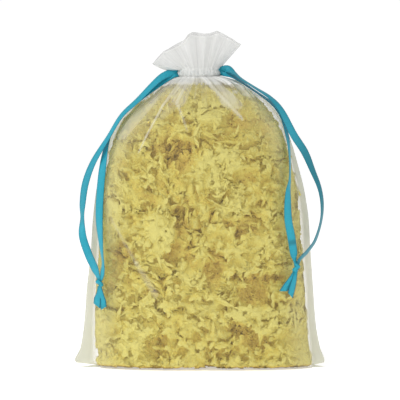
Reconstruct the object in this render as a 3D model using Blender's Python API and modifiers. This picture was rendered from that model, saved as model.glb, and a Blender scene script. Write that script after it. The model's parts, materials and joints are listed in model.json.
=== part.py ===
"""A sheer organza drawstring bag, stuffed with torn sea sponge and tied with two satin ribbons.

Metres, +Z up. The bag stands on the ground at Z = 0 and its front faces -Y, with +X to the right.
The origin is on the ground, under the middle of the bag.
"""
import math
import random

import bmesh
import bpy
from mathutils import Vector, noise
from mathutils.bvhtree import BVHTree

MM = 0.001
GAP = 0.3 * MM

# The bag's cloth, drawn thicker than the real 0.1 mm
WALL = 0.9 * MM
SEAM_HALF_THICKNESS = 0.5 * MM
SEAM_SHARE_OUTSIDE = 0.6
SEAM_SHARE_INSIDE = 0.4
ROUND_POINTS = 42
BODY_SQUARENESS = 2.25

# Sections of the filled bag from the ground up to the neck, in mm:
# height, left edge, right edge, half depth, left seam's fin, right seam's fin
BAG_SECTIONS = (
    (0.0, 97.0, 100.0, 27.0, 17.0, 10.0),
    (4.0, 100.0, 99.3, 31.5, 15.0, 9.0),
    (16.0, 95.0, 95.5, 35.0, 10.0, 7.0),
    (36.0, 92.0, 92.0, 38.0, 7.0, 5.5),
    (62.0, 90.0, 90.0, 41.0, 6.0, 5.0),
    (90.0, 87.0, 88.0, 43.2, 5.0, 5.0),
    (116.0, 85.3, 86.5, 43.5, 4.5, 5.0),
    (140.0, 82.5, 83.0, 42.5, 4.0, 4.5),
    (162.0, 78.0, 77.5, 40.0, 3.5, 4.0),
    (180.0, 73.0, 72.2, 36.5, 3.0, 3.5),
    (196.0, 65.0, 66.0, 31.0, 2.5, 3.0),
    (209.0, 53.0, 56.0, 25.0, 2.0, 2.5),
    (219.5, 39.5, 44.0, 18.5, 1.8, 2.0),
    (227.0, 28.0, 31.5, 13.0, 1.5, 1.5),
    (231.0, 17.5, 15.5, 8.5, 1.2, 1.2),
)
NECK_TOP = 236.0 * MM
GATHERS_START = 185.0 * MM
NECK_GATHER_DEPTH = 0.7 * MM
NECK_BUNCH = 5.6 * MM
BUNCH_STARTS = 219.5 * MM
NECK_BOTTOM = 231.0 * MM
POINTS_PER_GATHER = 3

# The frill above the neck: its rim seen from the front, in mm, and its own sizes
RIM_OUTLINE = (
    (-38.0, 241.0),
    (-29.0, 251.0),
    (-12.7, 259.5),
    (-8.0, 265.0),
    (3.0, 265.0),
    (13.5, 267.5),
    (21.4, 263.5),
    (32.6, 256.5),
)
RIM_HALF_DEPTH = 17.0 * MM
RIM_GATHER_DEPTH = 2.2 * MM
RIM_GATHER_SIDEWAYS = 0.5
FRONT_RIM_DROP = 3.0 * MM
FRILL_RINGS = (0.22, 0.6, 1.0)

# The sponge: rows of torn pieces, each row's height in mm with the pieces in front and behind
SPONGE_ROWS = (
    (22.0, 3, 2),
    (62.0, 3, 3),
    (104.0, 2, 3),
    (148.0, 3, 2),
    (190.0, 2, 1),
)
SPONGE_TOP = 224.0 * MM
SPONGE_CLEARANCE = 0.6 * MM
SPONGE_JITTER = 6.0 * MM
SPONGE_JITTER_IN_DEPTH = 0.5
SPONGE_SPREAD = 0.92
SPONGE_ROW_DEPTH = 0.46
PIECE_SEED = 7
PIECE_CUTS = 3
LUMP_DEPTH = 0.15
LUMP_FREQUENCY = 2.4
LUMP_LEVEL = 0.4
LUMP_CONTRAST = 1.4
CORNER_ROUNDING = 18.0
FACING_LIMIT = 0.02

# The satin ribbons. One runs round the neck in the bag's channel and leaves it on the left, the other on the
# right, and each has its two ends tied in one overhand knot.
RIBBON_WIDTH = 6.35 * MM
RIBBON_THICKNESS = 0.5 * MM
RIBBON_STATIONS = 22
PINCH_LENGTH = 9.0 * MM
PINCH_AT_CHANNEL = 0.55
PINCH_AT_KNOT = 0.4
LOOP_RADIUS = 1.0 * MM
LOOP_CLEARANCE = 0.7 * MM
LOOP_POINTS = 28
LOOP_HEIGHTS = {"left": 232.3 * MM, "right": 234.8 * MM}

# Each strand from the channel down to the knot: x, y and z in mm, then how far its face leans from the
# front towards the side, in degrees
STRANDS = {
    "ribbon_left_outer": (
        (-22.8, -3.0, 234.2, 20.0),
        (-30.0, -8.0, 231.0, 35.0),
        (-37.3, -11.5, 224.7, 35.0),
        (-49.2, -14.0, 212.0, 35.0),
        (-61.9, -14.5, 199.3, 30.0),
        (-73.8, -13.0, 182.6, 25.0),
        (-85.8, -10.0, 162.8, 15.0),
        (-92.1, -8.0, 146.1, 10.0),
        (-94.5, -8.0, 130.2, 20.0),
        (-94.8, -8.5, 118.3, 60.0),
        (-92.9, -10.0, 104.0, 20.0),
        (-88.1, -14.5, 89.7, 10.0),
        (-83.6, -19.5, 80.5, 20.0),
        (-81.0, -22.5, 74.8, 40.0),
    ),
    "ribbon_left_inner": (
        (-22.8, -4.0, 231.6, 40.0),
        (-33.3, -8.0, 224.9, 40.0),
        (-45.3, -10.5, 215.2, 40.0),
        (-57.2, -11.0, 204.0, 35.0),
        (-68.0, -10.0, 190.5, 25.0),
        (-73.6, -9.5, 176.5, 15.0),
        (-76.8, -12.0, 158.8, 15.0),
        (-78.8, -14.5, 138.2, 20.0),
        (-79.4, -18.5, 118.0, 20.0),
        (-77.8, -22.5, 96.1, 30.0),
        (-76.4, -25.0, 84.0, 60.0),
        (-77.0, -25.5, 74.8, 50.0),
    ),
    "ribbon_right_outer": (
        (21.0, -5.0, 237.4, 20.0),
        (27.0, -10.0, 233.8, 35.0),
        (33.3, -13.0, 229.0, 35.0),
        (43.7, -15.0, 222.3, 35.0),
        (55.6, -15.5, 214.0, 35.0),
        (64.3, -15.0, 203.3, 30.0),
        (73.8, -13.0, 184.5, 20.0),
        (82.6, -10.0, 170.7, 10.0),
        (88.8, -9.0, 156.4, 5.0),
        (94.5, -8.0, 142.1, 5.0),
        (96.7, -8.0, 129.0, 5.0),
        (95.8, -9.5, 115.9, 5.0),
        (91.3, -14.0, 101.6, 0.0),
        (85.2, -21.0, 93.2, 0.0),
        (78.8, -26.0, 87.0, 0.0),
    ),
    "ribbon_right_inner": (
        (22.0, -5.0, 233.2, 40.0),
        (29.4, -9.0, 229.3, 40.0),
        (42.1, -11.5, 220.6, 40.0),
        (55.6, -12.0, 210.4, 35.0),
        (64.3, -11.5, 199.3, 25.0),
        (69.1, -11.5, 182.6, 20.0),
        (70.7, -16.5, 166.7, 35.0),
        (70.7, -23.5, 150.1, 65.0),
        (69.1, -28.5, 138.2, 30.0),
        (69.1, -31.0, 119.9, 30.0),
        (71.8, -30.0, 104.0, 35.0),
        (73.6, -29.0, 92.0, 50.0),
        (74.4, -28.0, 86.6, 50.0),
    ),
}

# Each knot's middle, its half width, half depth and half height, and the ends of its two tails, in mm
KNOTS = {
    "ribbon_left_knot": ((-79.0, -24.0, 68.5), (3.2, 2.6, 5.2), ((-80.9, -24.0, 48.3), (-75.2, -24.6, 46.2))),
    "ribbon_right_knot": ((75.6, -27.6, 80.8), (3.2, 2.6, 4.8), ((65.6, -31.2, 60.2), (70.6, -30.6, 57.4))),
}
TAIL_START = 0.55
TAIL_LEAN = 12.0
TAIL_STATIONS = 6
TAIL_OPENED = 0.8
TAIL_BEND_SIDEWAYS = 0.3
TAIL_BEND_DOWN = 0.35


def mix(a, b, share):
    """The value a given share of the way from a to b."""
    return a + (b - a) * share


def on_outline(outline, x):
    """Height of an outline of (x, height) points at x, with straight runs between them."""
    for (x0, z0), (x1, z1) in zip(outline, outline[1:]):
        if x <= x1:
            return mix(z0, z1, max(0.0, (x - x0) / (x1 - x0)))
    return outline[-1][1]


def section_at(height):
    """Left edge, right edge, half depth and the two fins of the bag at a height, in metres."""
    rows = BAG_SECTIONS
    height_mm = height / MM
    for low, high in zip(rows, rows[1:]):
        if height_mm <= high[0]:
            share = max(0.0, (height_mm - low[0]) / (high[0] - low[0]))
            return [mix(a, b, share) * MM for a, b in zip(low[1:], high[1:])]
    return [value * MM for value in rows[-1][1:]]


def squared(value, squareness):
    """A sine or cosine bent towards the sides of a box, for a fuller oval."""
    return math.copysign(abs(value) ** (2.0 / squareness), value)


def gather(index):
    """Push of one point of the ring by the gathers: out on a ridge, in beside it."""
    return math.cos(2.0 * math.pi * index / POINTS_PER_GATHER)


def neck_bunch(height):
    """How much thicker the gathered cloth makes the wall: nothing at the shoulders, most at the neck."""
    share = (height - BUNCH_STARTS) / (NECK_BOTTOM - BUNCH_STARTS)
    return NECK_BUNCH * min(1.0, max(0.0, share))


def bag_ring(height, inset):
    """The bag's section at a height as a ring of points, moved in by inset.

    The outer ring, with no inset, runs out at both sides into the thin fin of the seam.
    """
    left, right, half_depth, left_fin, right_fin = section_at(height)
    if inset > 0.0:
        inset += neck_bunch(height)
    middle = (right - right_fin - left + left_fin) / 2.0
    half_width = (right - right_fin + left - left_fin) / 2.0 - inset
    depth = half_depth - inset
    share = min(1.0, max(0.0, (height - GATHERS_START) / (NECK_TOP - GATHERS_START)))
    push = NECK_GATHER_DEPTH * share
    ring = []
    for index in range(ROUND_POINTS):
        angle = 2.0 * math.pi * (index + 0.5) / ROUND_POINTS
        x = squared(math.cos(angle), BODY_SQUARENESS)
        y = squared(math.sin(angle), BODY_SQUARENESS)
        out = push * gather(index)
        ring.append(Vector((middle + (half_width + out) * x, (depth + out) * y, height)))
    return with_seams(ring, left, right, inset)


def with_seams(ring, left, right, inset):
    """Add the two points of each side seam to a ring: a fin on the outer ring, none on an inner one."""
    half = len(ring) // 2
    height = ring[0].z
    seams = []
    for edge, neighbour in ((right, ring[0]), (-left, ring[half])):
        if inset > 0.0:
            edge = neighbour.x
            thick = abs(neighbour.y) * SEAM_SHARE_INSIDE
        else:
            thick = min(SEAM_HALF_THICKNESS, abs(neighbour.y) * SEAM_SHARE_OUTSIDE)
        seams.append((Vector((edge, thick, height)), Vector((edge, -thick, height))))
    right_seam, left_seam = seams
    return [right_seam[0]] + ring[:half] + [left_seam[0], left_seam[1]] + ring[half:] + [right_seam[1]]


def frill_ring(neck_ring, share, inset):
    """A ring of the frill, a share of the way from the neck to the rim."""
    first_x, last_x = RIM_OUTLINE[0][0] * MM, RIM_OUTLINE[-1][0] * MM
    middle = (first_x + last_x) / 2.0
    half_width = (last_x - first_x) / 2.0
    count = len(neck_ring)
    ring = []
    for index, neck in enumerate(neck_ring):
        angle = 2.0 * math.pi * (index + 0.5) / count
        out = RIM_GATHER_DEPTH * gather(index) - RIM_GATHER_DEPTH - inset
        x = middle + (half_width + out * RIM_GATHER_SIDEWAYS) * math.cos(angle)
        y = (RIM_HALF_DEPTH + out) * math.sin(angle)
        z = on_outline(RIM_OUTLINE, x / MM) * MM
        if y < 0.0:
            z += FRONT_RIM_DROP * math.sin(angle)
        ring.append(neck.lerp(Vector((x, y, z)), share))
    return ring


def bridge(bm, lower, upper):
    """Join two rings of vertices with a band of faces whose outside is away from the rings' middle."""
    count = len(lower)
    for index in range(count):
        after = (index + 1) % count
        bm.faces.new((lower[index], lower[after], upper[after], upper[index]))


def add_ring(bm, points):
    return [bm.verts.new(point) for point in points]


def loft(rings):
    """A closed body through rings of points, with a flat face across its first and its last ring."""
    bm = bmesh.new()
    made = [add_ring(bm, ring) for ring in rings]
    for lower, upper in zip(made, made[1:]):
        bridge(bm, lower, upper)
    bm.faces.new(list(reversed(made[0])))
    bm.faces.new(made[-1])
    return bm


def bag_heights():
    return [row[0] * MM for row in BAG_SECTIONS]


def side_of_bag(inset, floor):
    """Rings of one side of the cloth, from the bottom to the frill's rim."""
    rings = [bag_ring(height, inset) for height in bag_heights()]
    rings[0] = [Vector((point.x, point.y, floor)) for point in rings[0]]
    neck = [Vector((point.x, point.y, NECK_TOP)) for point in rings[-1]]
    rings.append(neck)
    rings += [frill_ring(neck, share, inset) for share in FRILL_RINGS]
    return rings


def organza_bag():
    """The bag as one thin wall: up the outside, over the frill's rim and down the inside."""
    outside = side_of_bag(0.0, 0.0)
    inside = side_of_bag(WALL, WALL)
    bm = loft(outside + list(reversed(inside)))
    bmesh.ops.recalc_face_normals(bm, faces=bm.faces)
    return bm


def sponge_space():
    """The room inside the bag that the sponge fills, as a tree that rays can be sent into."""
    inset = WALL + SPONGE_CLEARANCE
    heights = [height for height in bag_heights() if inset < height < SPONGE_TOP]
    rings = [bag_ring(height, inset) for height in [inset] + heights + [SPONGE_TOP]]
    bm = loft(rings)
    tree = BVHTree.FromBMesh(bm)
    bm.free()
    return tree


def sponge_seeds():
    """The middle of each torn piece, in rows, those behind standing between those in front."""
    chance = random.Random(PIECE_SEED)
    seeds = []
    for height_mm, in_front, behind in SPONGE_ROWS:
        height = height_mm * MM
        left, right, half_depth, left_fin, right_fin = section_at(height)
        half_width = (left - left_fin + right - right_fin) / 2.0
        for count, side in ((in_front, -1.0), (behind, 1.0)):
            for index in range(count):
                x = half_width * SPONGE_SPREAD * (2.0 * index + 1.0 - count) / count
                shift = [chance.uniform(-SPONGE_JITTER, SPONGE_JITTER) for _ in range(3)]
                y = side * half_depth * SPONGE_ROW_DEPTH + shift[1] * SPONGE_JITTER_IN_DEPTH
                seeds.append(Vector((x + shift[0], y, height + shift[2])))
    return seeds


def reach(seed, direction, others, space):
    """How far a piece reaches from its middle: up to its neighbours and to the cloth, rounded off."""
    hit = space.ray_cast(seed, direction)
    distances = [hit[3]]
    for other in others:
        between = other - seed
        towards = direction.dot(between.normalized())
        if towards > FACING_LIMIT:
            distances.append((between.length / 2.0 - GAP) / towards)
    total = sum(distance ** -CORNER_ROUNDING for distance in distances)
    return total ** (-1.0 / CORNER_ROUNDING)


def sponge_piece(number, seed, others, space):
    """One torn piece: a ball pushed out to its neighbours, then sunk in lumps and hollows."""
    bm = bmesh.new()
    bmesh.ops.create_cube(bm, size=2.0)
    bmesh.ops.subdivide_edges(bm, edges=bm.edges, cuts=PIECE_CUTS, use_grid_fill=True)
    for vertex in bm.verts:
        direction = vertex.co.normalized()
        lump = noise.noise(direction * LUMP_FREQUENCY + Vector((number * 3.7, 0.0, 0.0)))
        sunk = LUMP_DEPTH * min(1.0, max(0.0, LUMP_LEVEL + lump * LUMP_CONTRAST))
        vertex.co = seed + direction * reach(seed, direction, others, space) * (1.0 - sunk)
    bmesh.ops.triangulate(bm, faces=bm.faces)
    bmesh.ops.recalc_face_normals(bm, faces=bm.faces)
    return bm


def smooth_route(points, stations):
    """Evenly counted points on a smooth curve through a route's own points (any number of values each)."""
    padded = [points[0]] + list(points) + [points[-1]]
    spans = len(points) - 1
    route = []
    for station in range(stations):
        place = spans * station / (stations - 1)
        span = min(int(place), spans - 1)
        t = place - span
        before, start, end, after = padded[span:span + 4]
        values = []
        for a, b, c, d in zip(before, start, end, after):
            bend = (2.0 * a - 5.0 * b + 4.0 * c - d) * t * t
            twist = (3.0 * b - a - 3.0 * c + d) * t * t * t
            values.append(0.5 * (2.0 * b + (c - a) * t + bend + twist))
        route.append(values)
    return route


def face_of_ribbon(along, lean, side):
    """The way a ribbon's face looks: to the front, turned about its length towards one side by lean."""
    front = Vector((0.0, -1.0, 0.0))
    front = (front - along * front.dot(along)).normalized()
    across = along.cross(front)
    if across.x * side < 0.0:
        across = -across
    return front * math.cos(lean) + across * math.sin(lean)


def ribbon_strip(route, widths, side):
    """A flat ribbon along a route of x, y, z and lean, as an open strip that is then given its thickness."""
    places = [Vector(values[:3]) * MM for values in route]
    bm = bmesh.new()
    rows = []
    last = len(places) - 1
    for index, (values, width) in enumerate(zip(route, widths)):
        along = (places[min(index + 1, last)] - places[max(index - 1, 0)]).normalized()
        face = face_of_ribbon(along, math.radians(values[3]), side)
        across = along.cross(face).normalized() * (width / 2.0)
        rows.append((bm.verts.new(places[index] - across), bm.verts.new(places[index] + across)))
    for (left, right), (next_left, next_right) in zip(rows, rows[1:]):
        bm.faces.new((left, right, next_right, next_left))
    return bm


def add_thickness(thing):
    solid = thing.modifiers.new("ribbon thickness", "SOLIDIFY")
    solid.thickness = RIBBON_THICKNESS
    solid.offset = 0.0


def strand_widths(route):
    """The width at each station: gathered where the strand leaves the channel and where it enters the knot."""
    places = [Vector(values[:3]) * MM for values in route]
    travelled = [0.0]
    for start, end in zip(places, places[1:]):
        travelled.append(travelled[-1] + (end - start).length)
    widths = []
    for distance in travelled:
        opened = min(1.0, distance / PINCH_LENGTH)
        closing = min(1.0, (travelled[-1] - distance) / PINCH_LENGTH)
        share = mix(PINCH_AT_CHANNEL, 1.0, opened) * mix(PINCH_AT_KNOT, 1.0, closing)
        widths.append(RIBBON_WIDTH * share)
    return widths


def ribbon_strand(name, material, collection):
    """One strand of ribbon, from the channel down to its knot."""
    side = math.copysign(1.0, STRANDS[name][0][0])
    route = smooth_route(STRANDS[name], RIBBON_STATIONS)
    bm = ribbon_strip(route, strand_widths(route), side)
    add_thickness(add_object(name, bm, material, collection))


def ribbon_loop(name, height, material, collection):
    """The gathered ribbon round the neck, in the channel: a closed curve a little outside the cloth."""
    left, right, half_depth, left_fin, right_fin = section_at(height)
    out = NECK_GATHER_DEPTH + LOOP_CLEARANCE + LOOP_RADIUS
    curve = bpy.data.curves.new(name, "CURVE")
    curve.dimensions = "3D"
    curve.bevel_depth = LOOP_RADIUS
    curve.bevel_resolution = 0
    spline = curve.splines.new("POLY")
    spline.points.add(LOOP_POINTS - 1)
    for index, point in enumerate(spline.points):
        angle = 2.0 * math.pi * index / LOOP_POINTS
        x = squared(math.cos(angle), BODY_SQUARENESS) * ((left + right) / 2.0 + out)
        y = squared(math.sin(angle), BODY_SQUARENESS) * (half_depth + out)
        point.co = ((right - left) / 2.0 + x, y, height, 1.0)
    spline.use_cyclic_u = True
    curve.materials.append(material)
    collection.objects.link(bpy.data.objects.new(name, curve))


def ribbon_knot(name, material, collection, cutters):
    """An overhand knot: a tight lump of folded ribbon with its two tails joined to it."""
    middle, half_sizes, tail_ends = KNOTS[name]
    side = math.copysign(1.0, middle[0])
    bm = bmesh.new()
    bmesh.ops.create_icosphere(bm, subdivisions=2, radius=1.0)
    bmesh.ops.scale(bm, vec=Vector(half_sizes) * MM, verts=bm.verts)
    bmesh.ops.translate(bm, vec=Vector(middle) * MM, verts=bm.verts)
    knot = add_object(name, bm, material, collection)
    for number, end in enumerate(tail_ends, start=1):
        start = (middle[0], middle[1], middle[2] - half_sizes[2] * TAIL_START)
        bend = (mix(start[0], end[0], TAIL_BEND_SIDEWAYS), middle[1], mix(start[2], end[2], TAIL_BEND_DOWN))
        route = smooth_route([(*place, TAIL_LEAN) for place in (start, bend, end)], TAIL_STATIONS)
        narrow = RIBBON_WIDTH * PINCH_AT_KNOT
        widest = RIBBON_WIDTH * TAIL_OPENED
        widths = [mix(narrow, widest, step / (TAIL_STATIONS - 1)) for step in range(TAIL_STATIONS)]
        tail_name = f"{name}_tail_{number}"
        tail = add_object(tail_name, ribbon_strip(route, widths, side), material, cutters)
        add_thickness(tail)
        tail.hide_render = True
        tail.display_type = "WIRE"
        union = knot.modifiers.new(tail_name, "BOOLEAN")
        union.operation = "UNION"
        union.object = tail


def make_material(name, colour, roughness, alpha=1.0):
    material = bpy.data.materials.new(name)
    material.use_nodes = True
    shader = material.node_tree.nodes["Principled BSDF"]
    shader.inputs["Base Color"].default_value = (*colour, 1.0)
    shader.inputs["Roughness"].default_value = roughness
    shader.inputs["Metallic"].default_value = 0.0
    shader.inputs["Alpha"].default_value = alpha
    material.diffuse_color = (*colour, alpha)
    return material


def add_object(name, bm, material, collection):
    mesh = bpy.data.meshes.new(name)
    bm.to_mesh(mesh)
    bm.free()
    mesh.materials.append(material)
    thing = bpy.data.objects.new(name, mesh)
    collection.objects.link(thing)
    return thing


def main():
    for thing in list(bpy.data.objects):
        bpy.data.objects.remove(thing, do_unlink=True)
    collection = bpy.data.collections.new("bag_of_sea_sponge")
    bpy.context.scene.collection.children.link(collection)

    cutters = bpy.data.collections.new("cutters")
    bpy.context.scene.collection.children.link(cutters)

    organza = make_material("organza", (0.93, 0.93, 0.91), 0.6, alpha=0.35)
    satin = make_material("satin", (0.10, 0.52, 0.62), 0.35)
    sponge = make_material("sponge", (0.72, 0.60, 0.22), 0.95)

    add_object("organza_bag", organza_bag(), organza, collection)
    space = sponge_space()
    seeds = sponge_seeds()
    for number, seed in enumerate(seeds, start=1):
        others = [other for other in seeds if other is not seed]
        piece = sponge_piece(number, seed, others, space)
        add_object(f"sponge_piece_{number:02d}", piece, sponge, collection)
    for side, height in LOOP_HEIGHTS.items():
        ribbon_loop(f"ribbon_{side}_loop", height, satin, collection)
    for name in STRANDS:
        ribbon_strand(name, satin, collection)
    for name in KNOTS:
        ribbon_knot(name, satin, collection, cutters)


main()
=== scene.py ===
"""A sheer organza bag of torn sea sponge, tied with two satin ribbons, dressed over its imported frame."""
import json
import math

import bmesh
import bpy
import numpy as np
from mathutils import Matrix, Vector
from mathutils.bvhtree import BVHTree

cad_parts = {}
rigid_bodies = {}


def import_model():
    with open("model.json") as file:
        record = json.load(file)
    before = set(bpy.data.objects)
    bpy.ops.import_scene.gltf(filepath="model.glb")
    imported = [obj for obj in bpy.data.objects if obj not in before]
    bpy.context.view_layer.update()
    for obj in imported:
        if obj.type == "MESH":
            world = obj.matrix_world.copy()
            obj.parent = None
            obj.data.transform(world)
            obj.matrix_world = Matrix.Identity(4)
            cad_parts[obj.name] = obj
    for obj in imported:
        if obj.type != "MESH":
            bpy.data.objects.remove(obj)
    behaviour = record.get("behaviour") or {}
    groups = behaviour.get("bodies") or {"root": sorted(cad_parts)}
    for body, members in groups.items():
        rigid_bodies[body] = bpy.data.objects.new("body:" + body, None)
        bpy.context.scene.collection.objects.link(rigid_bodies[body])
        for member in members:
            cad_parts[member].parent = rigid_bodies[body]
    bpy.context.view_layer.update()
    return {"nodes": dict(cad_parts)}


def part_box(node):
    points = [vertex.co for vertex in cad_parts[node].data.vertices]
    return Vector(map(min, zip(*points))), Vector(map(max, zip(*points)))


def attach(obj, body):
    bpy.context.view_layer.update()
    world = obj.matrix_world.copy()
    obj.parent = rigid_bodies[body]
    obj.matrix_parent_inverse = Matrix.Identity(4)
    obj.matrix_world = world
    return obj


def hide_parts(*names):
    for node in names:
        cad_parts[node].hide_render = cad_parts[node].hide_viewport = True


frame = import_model()
MM = 0.001

# The studio: a white sweep under a white sky, with two large soft lights in front and one on each side. It
# is seen from a little above through a long lens, as goods are photographed for a catalogue.
LENS_DISTANCE = 2.6
LENS_ELEVATION = math.radians(3.5)
PICTURE_WIDTH = 400 * 0.794 * MM
AIM_HEIGHT = 0.1331
SENSOR_WIDTH = 36.0
LIGHTS_AIM = (0.0, 0.0, 0.13)
STUDIO_LIGHT = 0.525
BACKDROP_LIGHT = 1.02
FLOOR_GLOW = 0.52
FLOOR_SIZE = 12.0
FLOOR_BELOW = 0.0002


def place_camera():
    """The long lens in front of the goods, a little above them."""
    data = bpy.data.cameras.new("long_lens")
    data.sensor_width = SENSOR_WIDTH
    data.lens = SENSOR_WIDTH * LENS_DISTANCE / PICTURE_WIDTH
    data.clip_end = 30.0
    camera = bpy.data.objects.new("long_lens", data)
    camera.location = (
        0.0,
        -LENS_DISTANCE * math.cos(LENS_ELEVATION),
        AIM_HEIGHT + LENS_DISTANCE * math.sin(LENS_ELEVATION),
    )
    camera.rotation_euler = (math.pi / 2.0 - LENS_ELEVATION, 0.0, 0.0)
    bpy.context.scene.collection.objects.link(camera)
    bpy.context.scene.camera = camera


def soft_light(name, place, size, power):
    """A round soft light that looks at the middle of the goods."""
    data = bpy.data.lights.new(name, "AREA")
    data.shape = "DISK"
    data.size = size
    data.energy = power
    light = bpy.data.objects.new(name, data)
    light.location = place
    light.rotation_euler = (Vector(LIGHTS_AIM) - Vector(place)).to_track_quat("-Z", "Y").to_euler()
    bpy.context.scene.collection.objects.link(light)


def add_node(tree, kind, settings=None, **sockets):
    """A node with its settings, and its unlinked inputs by name with _ for a space."""
    node = tree.nodes.new(kind)
    for name, value in (settings or {}).items():
        setattr(node, name, value)
    for name, value in sockets.items():
        node.inputs[name.replace("_", " ")].default_value = value
    return node


def wire(tree, *links):
    """Links, each one as a node, its output, the next node and its input, with sockets by name or number."""
    for source, output, target, given in links:
        tree.links.new(source.outputs[output], target.inputs[given])


def finish_of(name, **sockets):
    """A new material, its node tree and its shader with some sockets set by name."""
    material = bpy.data.materials.new(name)
    material.use_nodes = True
    shader = material.node_tree.nodes["Principled BSDF"]
    for socket, value in sockets.items():
        shader.inputs[socket.replace("_", " ")].default_value = value
    return material, material.node_tree, shader


def white_surroundings():
    """A sky that lights the goods gently and that the camera sees as white, and white paper on the floor."""
    world = bpy.data.worlds.new("white_sky")
    world.use_nodes = True
    sky = world.node_tree.nodes["Background"]
    sky.inputs["Color"].default_value = (1.0, 1.0, 1.0, 1.0)
    ray = add_node(world.node_tree, "ShaderNodeLightPath")
    strength = add_node(world.node_tree, "ShaderNodeMapRange", To_Min=STUDIO_LIGHT, To_Max=BACKDROP_LIGHT)
    wire(
        world.node_tree,
        (ray, "Is Camera Ray", strength, "Value"),
        (strength, "Result", sky, "Strength"),
    )
    bpy.context.scene.world = world
    bpy.ops.mesh.primitive_plane_add(size=FLOOR_SIZE, location=(0.0, 0.0, -FLOOR_BELOW))
    floor = bpy.context.object
    floor.name = "white_floor"
    paper, _, _ = finish_of(
        "white_paper",
        Base_Color=(0.96, 0.96, 0.96, 1.0),
        Roughness=0.9,
        Specular_IOR_Level=0.1,
        Emission_Color=(1.0, 1.0, 1.0, 1.0),
        Emission_Strength=FLOOR_GLOW,
    )
    floor.data.materials.append(paper)


place_camera()
white_surroundings()
soft_light("key", (-1.0, -1.1, 1.7), 0.8, 15.0)
soft_light("fill", (1.3, -1.5, 0.7), 1.2, 2.5)
soft_light("left_side", (-1.7, -0.35, 0.4), 1.0, 4.0)
soft_light("right_side", (1.7, -0.35, 0.4), 1.0, 2.0)
bpy.context.scene.view_settings.view_transform = "Standard"
bpy.context.scene.cycles.transparent_max_bounces = 32

# The satin ribbons: turquoise double-face polyester satin, 6.35 mm wide. Each runs round the neck in the
# bag's channel, comes out at one side as two strands and has both ends tied in one overhand knot.
RIBBON_WIDTH = 6.35 * MM
RIBBON_THICKNESS = 0.22 * MM
RIBBON_STEP = 1.1 * MM
RIBBON_ACROSS = 7
RIBBON_CUP = 0.2 * MM
ACROSS = np.linspace(-0.5, 0.5, RIBBON_ACROSS)
CUPPED = (0.25 - ACROSS ** 2) * 4.0
PINCH_LENGTH = 9.0 * MM
PINCH_AT_CHANNEL = 0.55
PINCH_AT_KNOT = 0.4
ROUTE_STATIONS = 400
# The edge colour is partly the darker woven selvedge and partly painted shade on the ribbon's edges and in
# the knots' creases.
SATIN_EDGE_AND_SHADE = (0.006, 0.17, 0.25)
SATIN_FACE = (0.018, 0.36, 0.48)
# A painted highlight: the ribbon's middle is painted a little lighter than its face.
SATIN_MIDDLE_HIGHLIGHT = (0.022, 0.40, 0.53)
# Painted shade: the darker, duller satin that is laid on strands where they turn away from the light.
SATIN_IN_SHADE = (0.012, 0.20, 0.26)

# Each strand from the channel down to its knot: x, y and z in mm, then how far its face leans from the
# front towards the side, in degrees. CHANNEL_ENDS and KNOT_ENDS are its two hidden ends in the same way.
STRANDS = {
    "ribbon_left_outer": (
        (-22.8, -3.0, 234.2, 20.0),
        (-30.0, -8.0, 231.0, 35.0),
        (-37.3, -11.5, 224.7, 45.0),
        (-49.2, -14.0, 212.6, 54.0),
        (-61.9, -14.5, 200.5, 60.0),
        (-72.2, -13.0, 183.8, 60.0),
        (-84.2, -10.0, 164.0, 44.0),
        (-90.5, -8.0, 147.3, 32.0),
        (-92.9, -8.0, 131.4, 40.0),
        (-93.2, -8.5, 119.5, 60.0),
        (-92.9, -10.0, 105.2, 20.0),
        (-88.1, -14.5, 90.9, 10.0),
        (-83.6, -19.5, 81.7, 20.0),
        (-81.0, -22.5, 76.0, 40.0),
    ),
    "ribbon_left_inner": (
        (-22.8, -4.0, 231.6, 40.0),
        (-33.3, -8.0, 224.9, 40.0),
        (-45.3, -10.5, 215.7, 52.0),
        (-57.2, -11.0, 205.0, 66.0),
        (-68.0, -10.0, 191.7, 72.0),
        (-73.6, -9.5, 177.7, 60.0),
        (-76.8, -12.0, 160.0, 32.0),
        (-78.8, -14.5, 139.4, 20.0),
        (-79.4, -18.5, 119.2, 28.0),
        (-77.8, -22.5, 97.3, 62.0),
        (-76.4, -25.0, 85.2, 72.0),
        (-77.0, -25.5, 76.0, 50.0),
    ),
    "ribbon_right_outer": (
        (21.0, -5.0, 237.4, 20.0),
        (27.0, -10.0, 233.8, 66.0),
        (33.3, -13.0, 229.0, 76.0),
        (43.7, -15.0, 222.4, 75.0),
        (55.6, -15.5, 214.5, 64.0),
        (64.3, -15.0, 204.3, 46.0),
        (73.8, -13.0, 185.7, 25.0),
        (82.6, -10.0, 171.9, 25.0),
        (88.8, -9.0, 157.6, 45.0),
        (94.5, -8.0, 143.3, 58.0),
        (96.7, -8.0, 130.2, 64.0),
        (95.8, -9.5, 117.1, 70.0),
        (91.3, -14.0, 102.8, 66.0),
        (85.2, -21.0, 94.4, 62.0),
        (78.8, -26.0, 88.2, 55.0),
    ),
    "ribbon_right_inner": (
        (22.0, -5.0, 233.2, 40.0),
        (29.4, -9.0, 229.3, 70.0),
        (42.1, -11.5, 220.8, 77.0),
        (55.6, -12.0, 211.1, 72.0),
        (64.3, -11.5, 200.5, 62.0),
        (69.1, -11.5, 183.8, 66.0),
        (70.7, -16.5, 167.9, 76.0),
        (70.7, -23.5, 151.3, 74.0),
        (69.1, -28.5, 139.4, 46.0),
        (69.1, -31.0, 121.1, 20.0),
        (71.8, -30.0, 105.2, 8.0),
        (73.6, -29.0, 93.2, 25.0),
        (74.4, -28.0, 87.8, 50.0),
    ),
}
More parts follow.
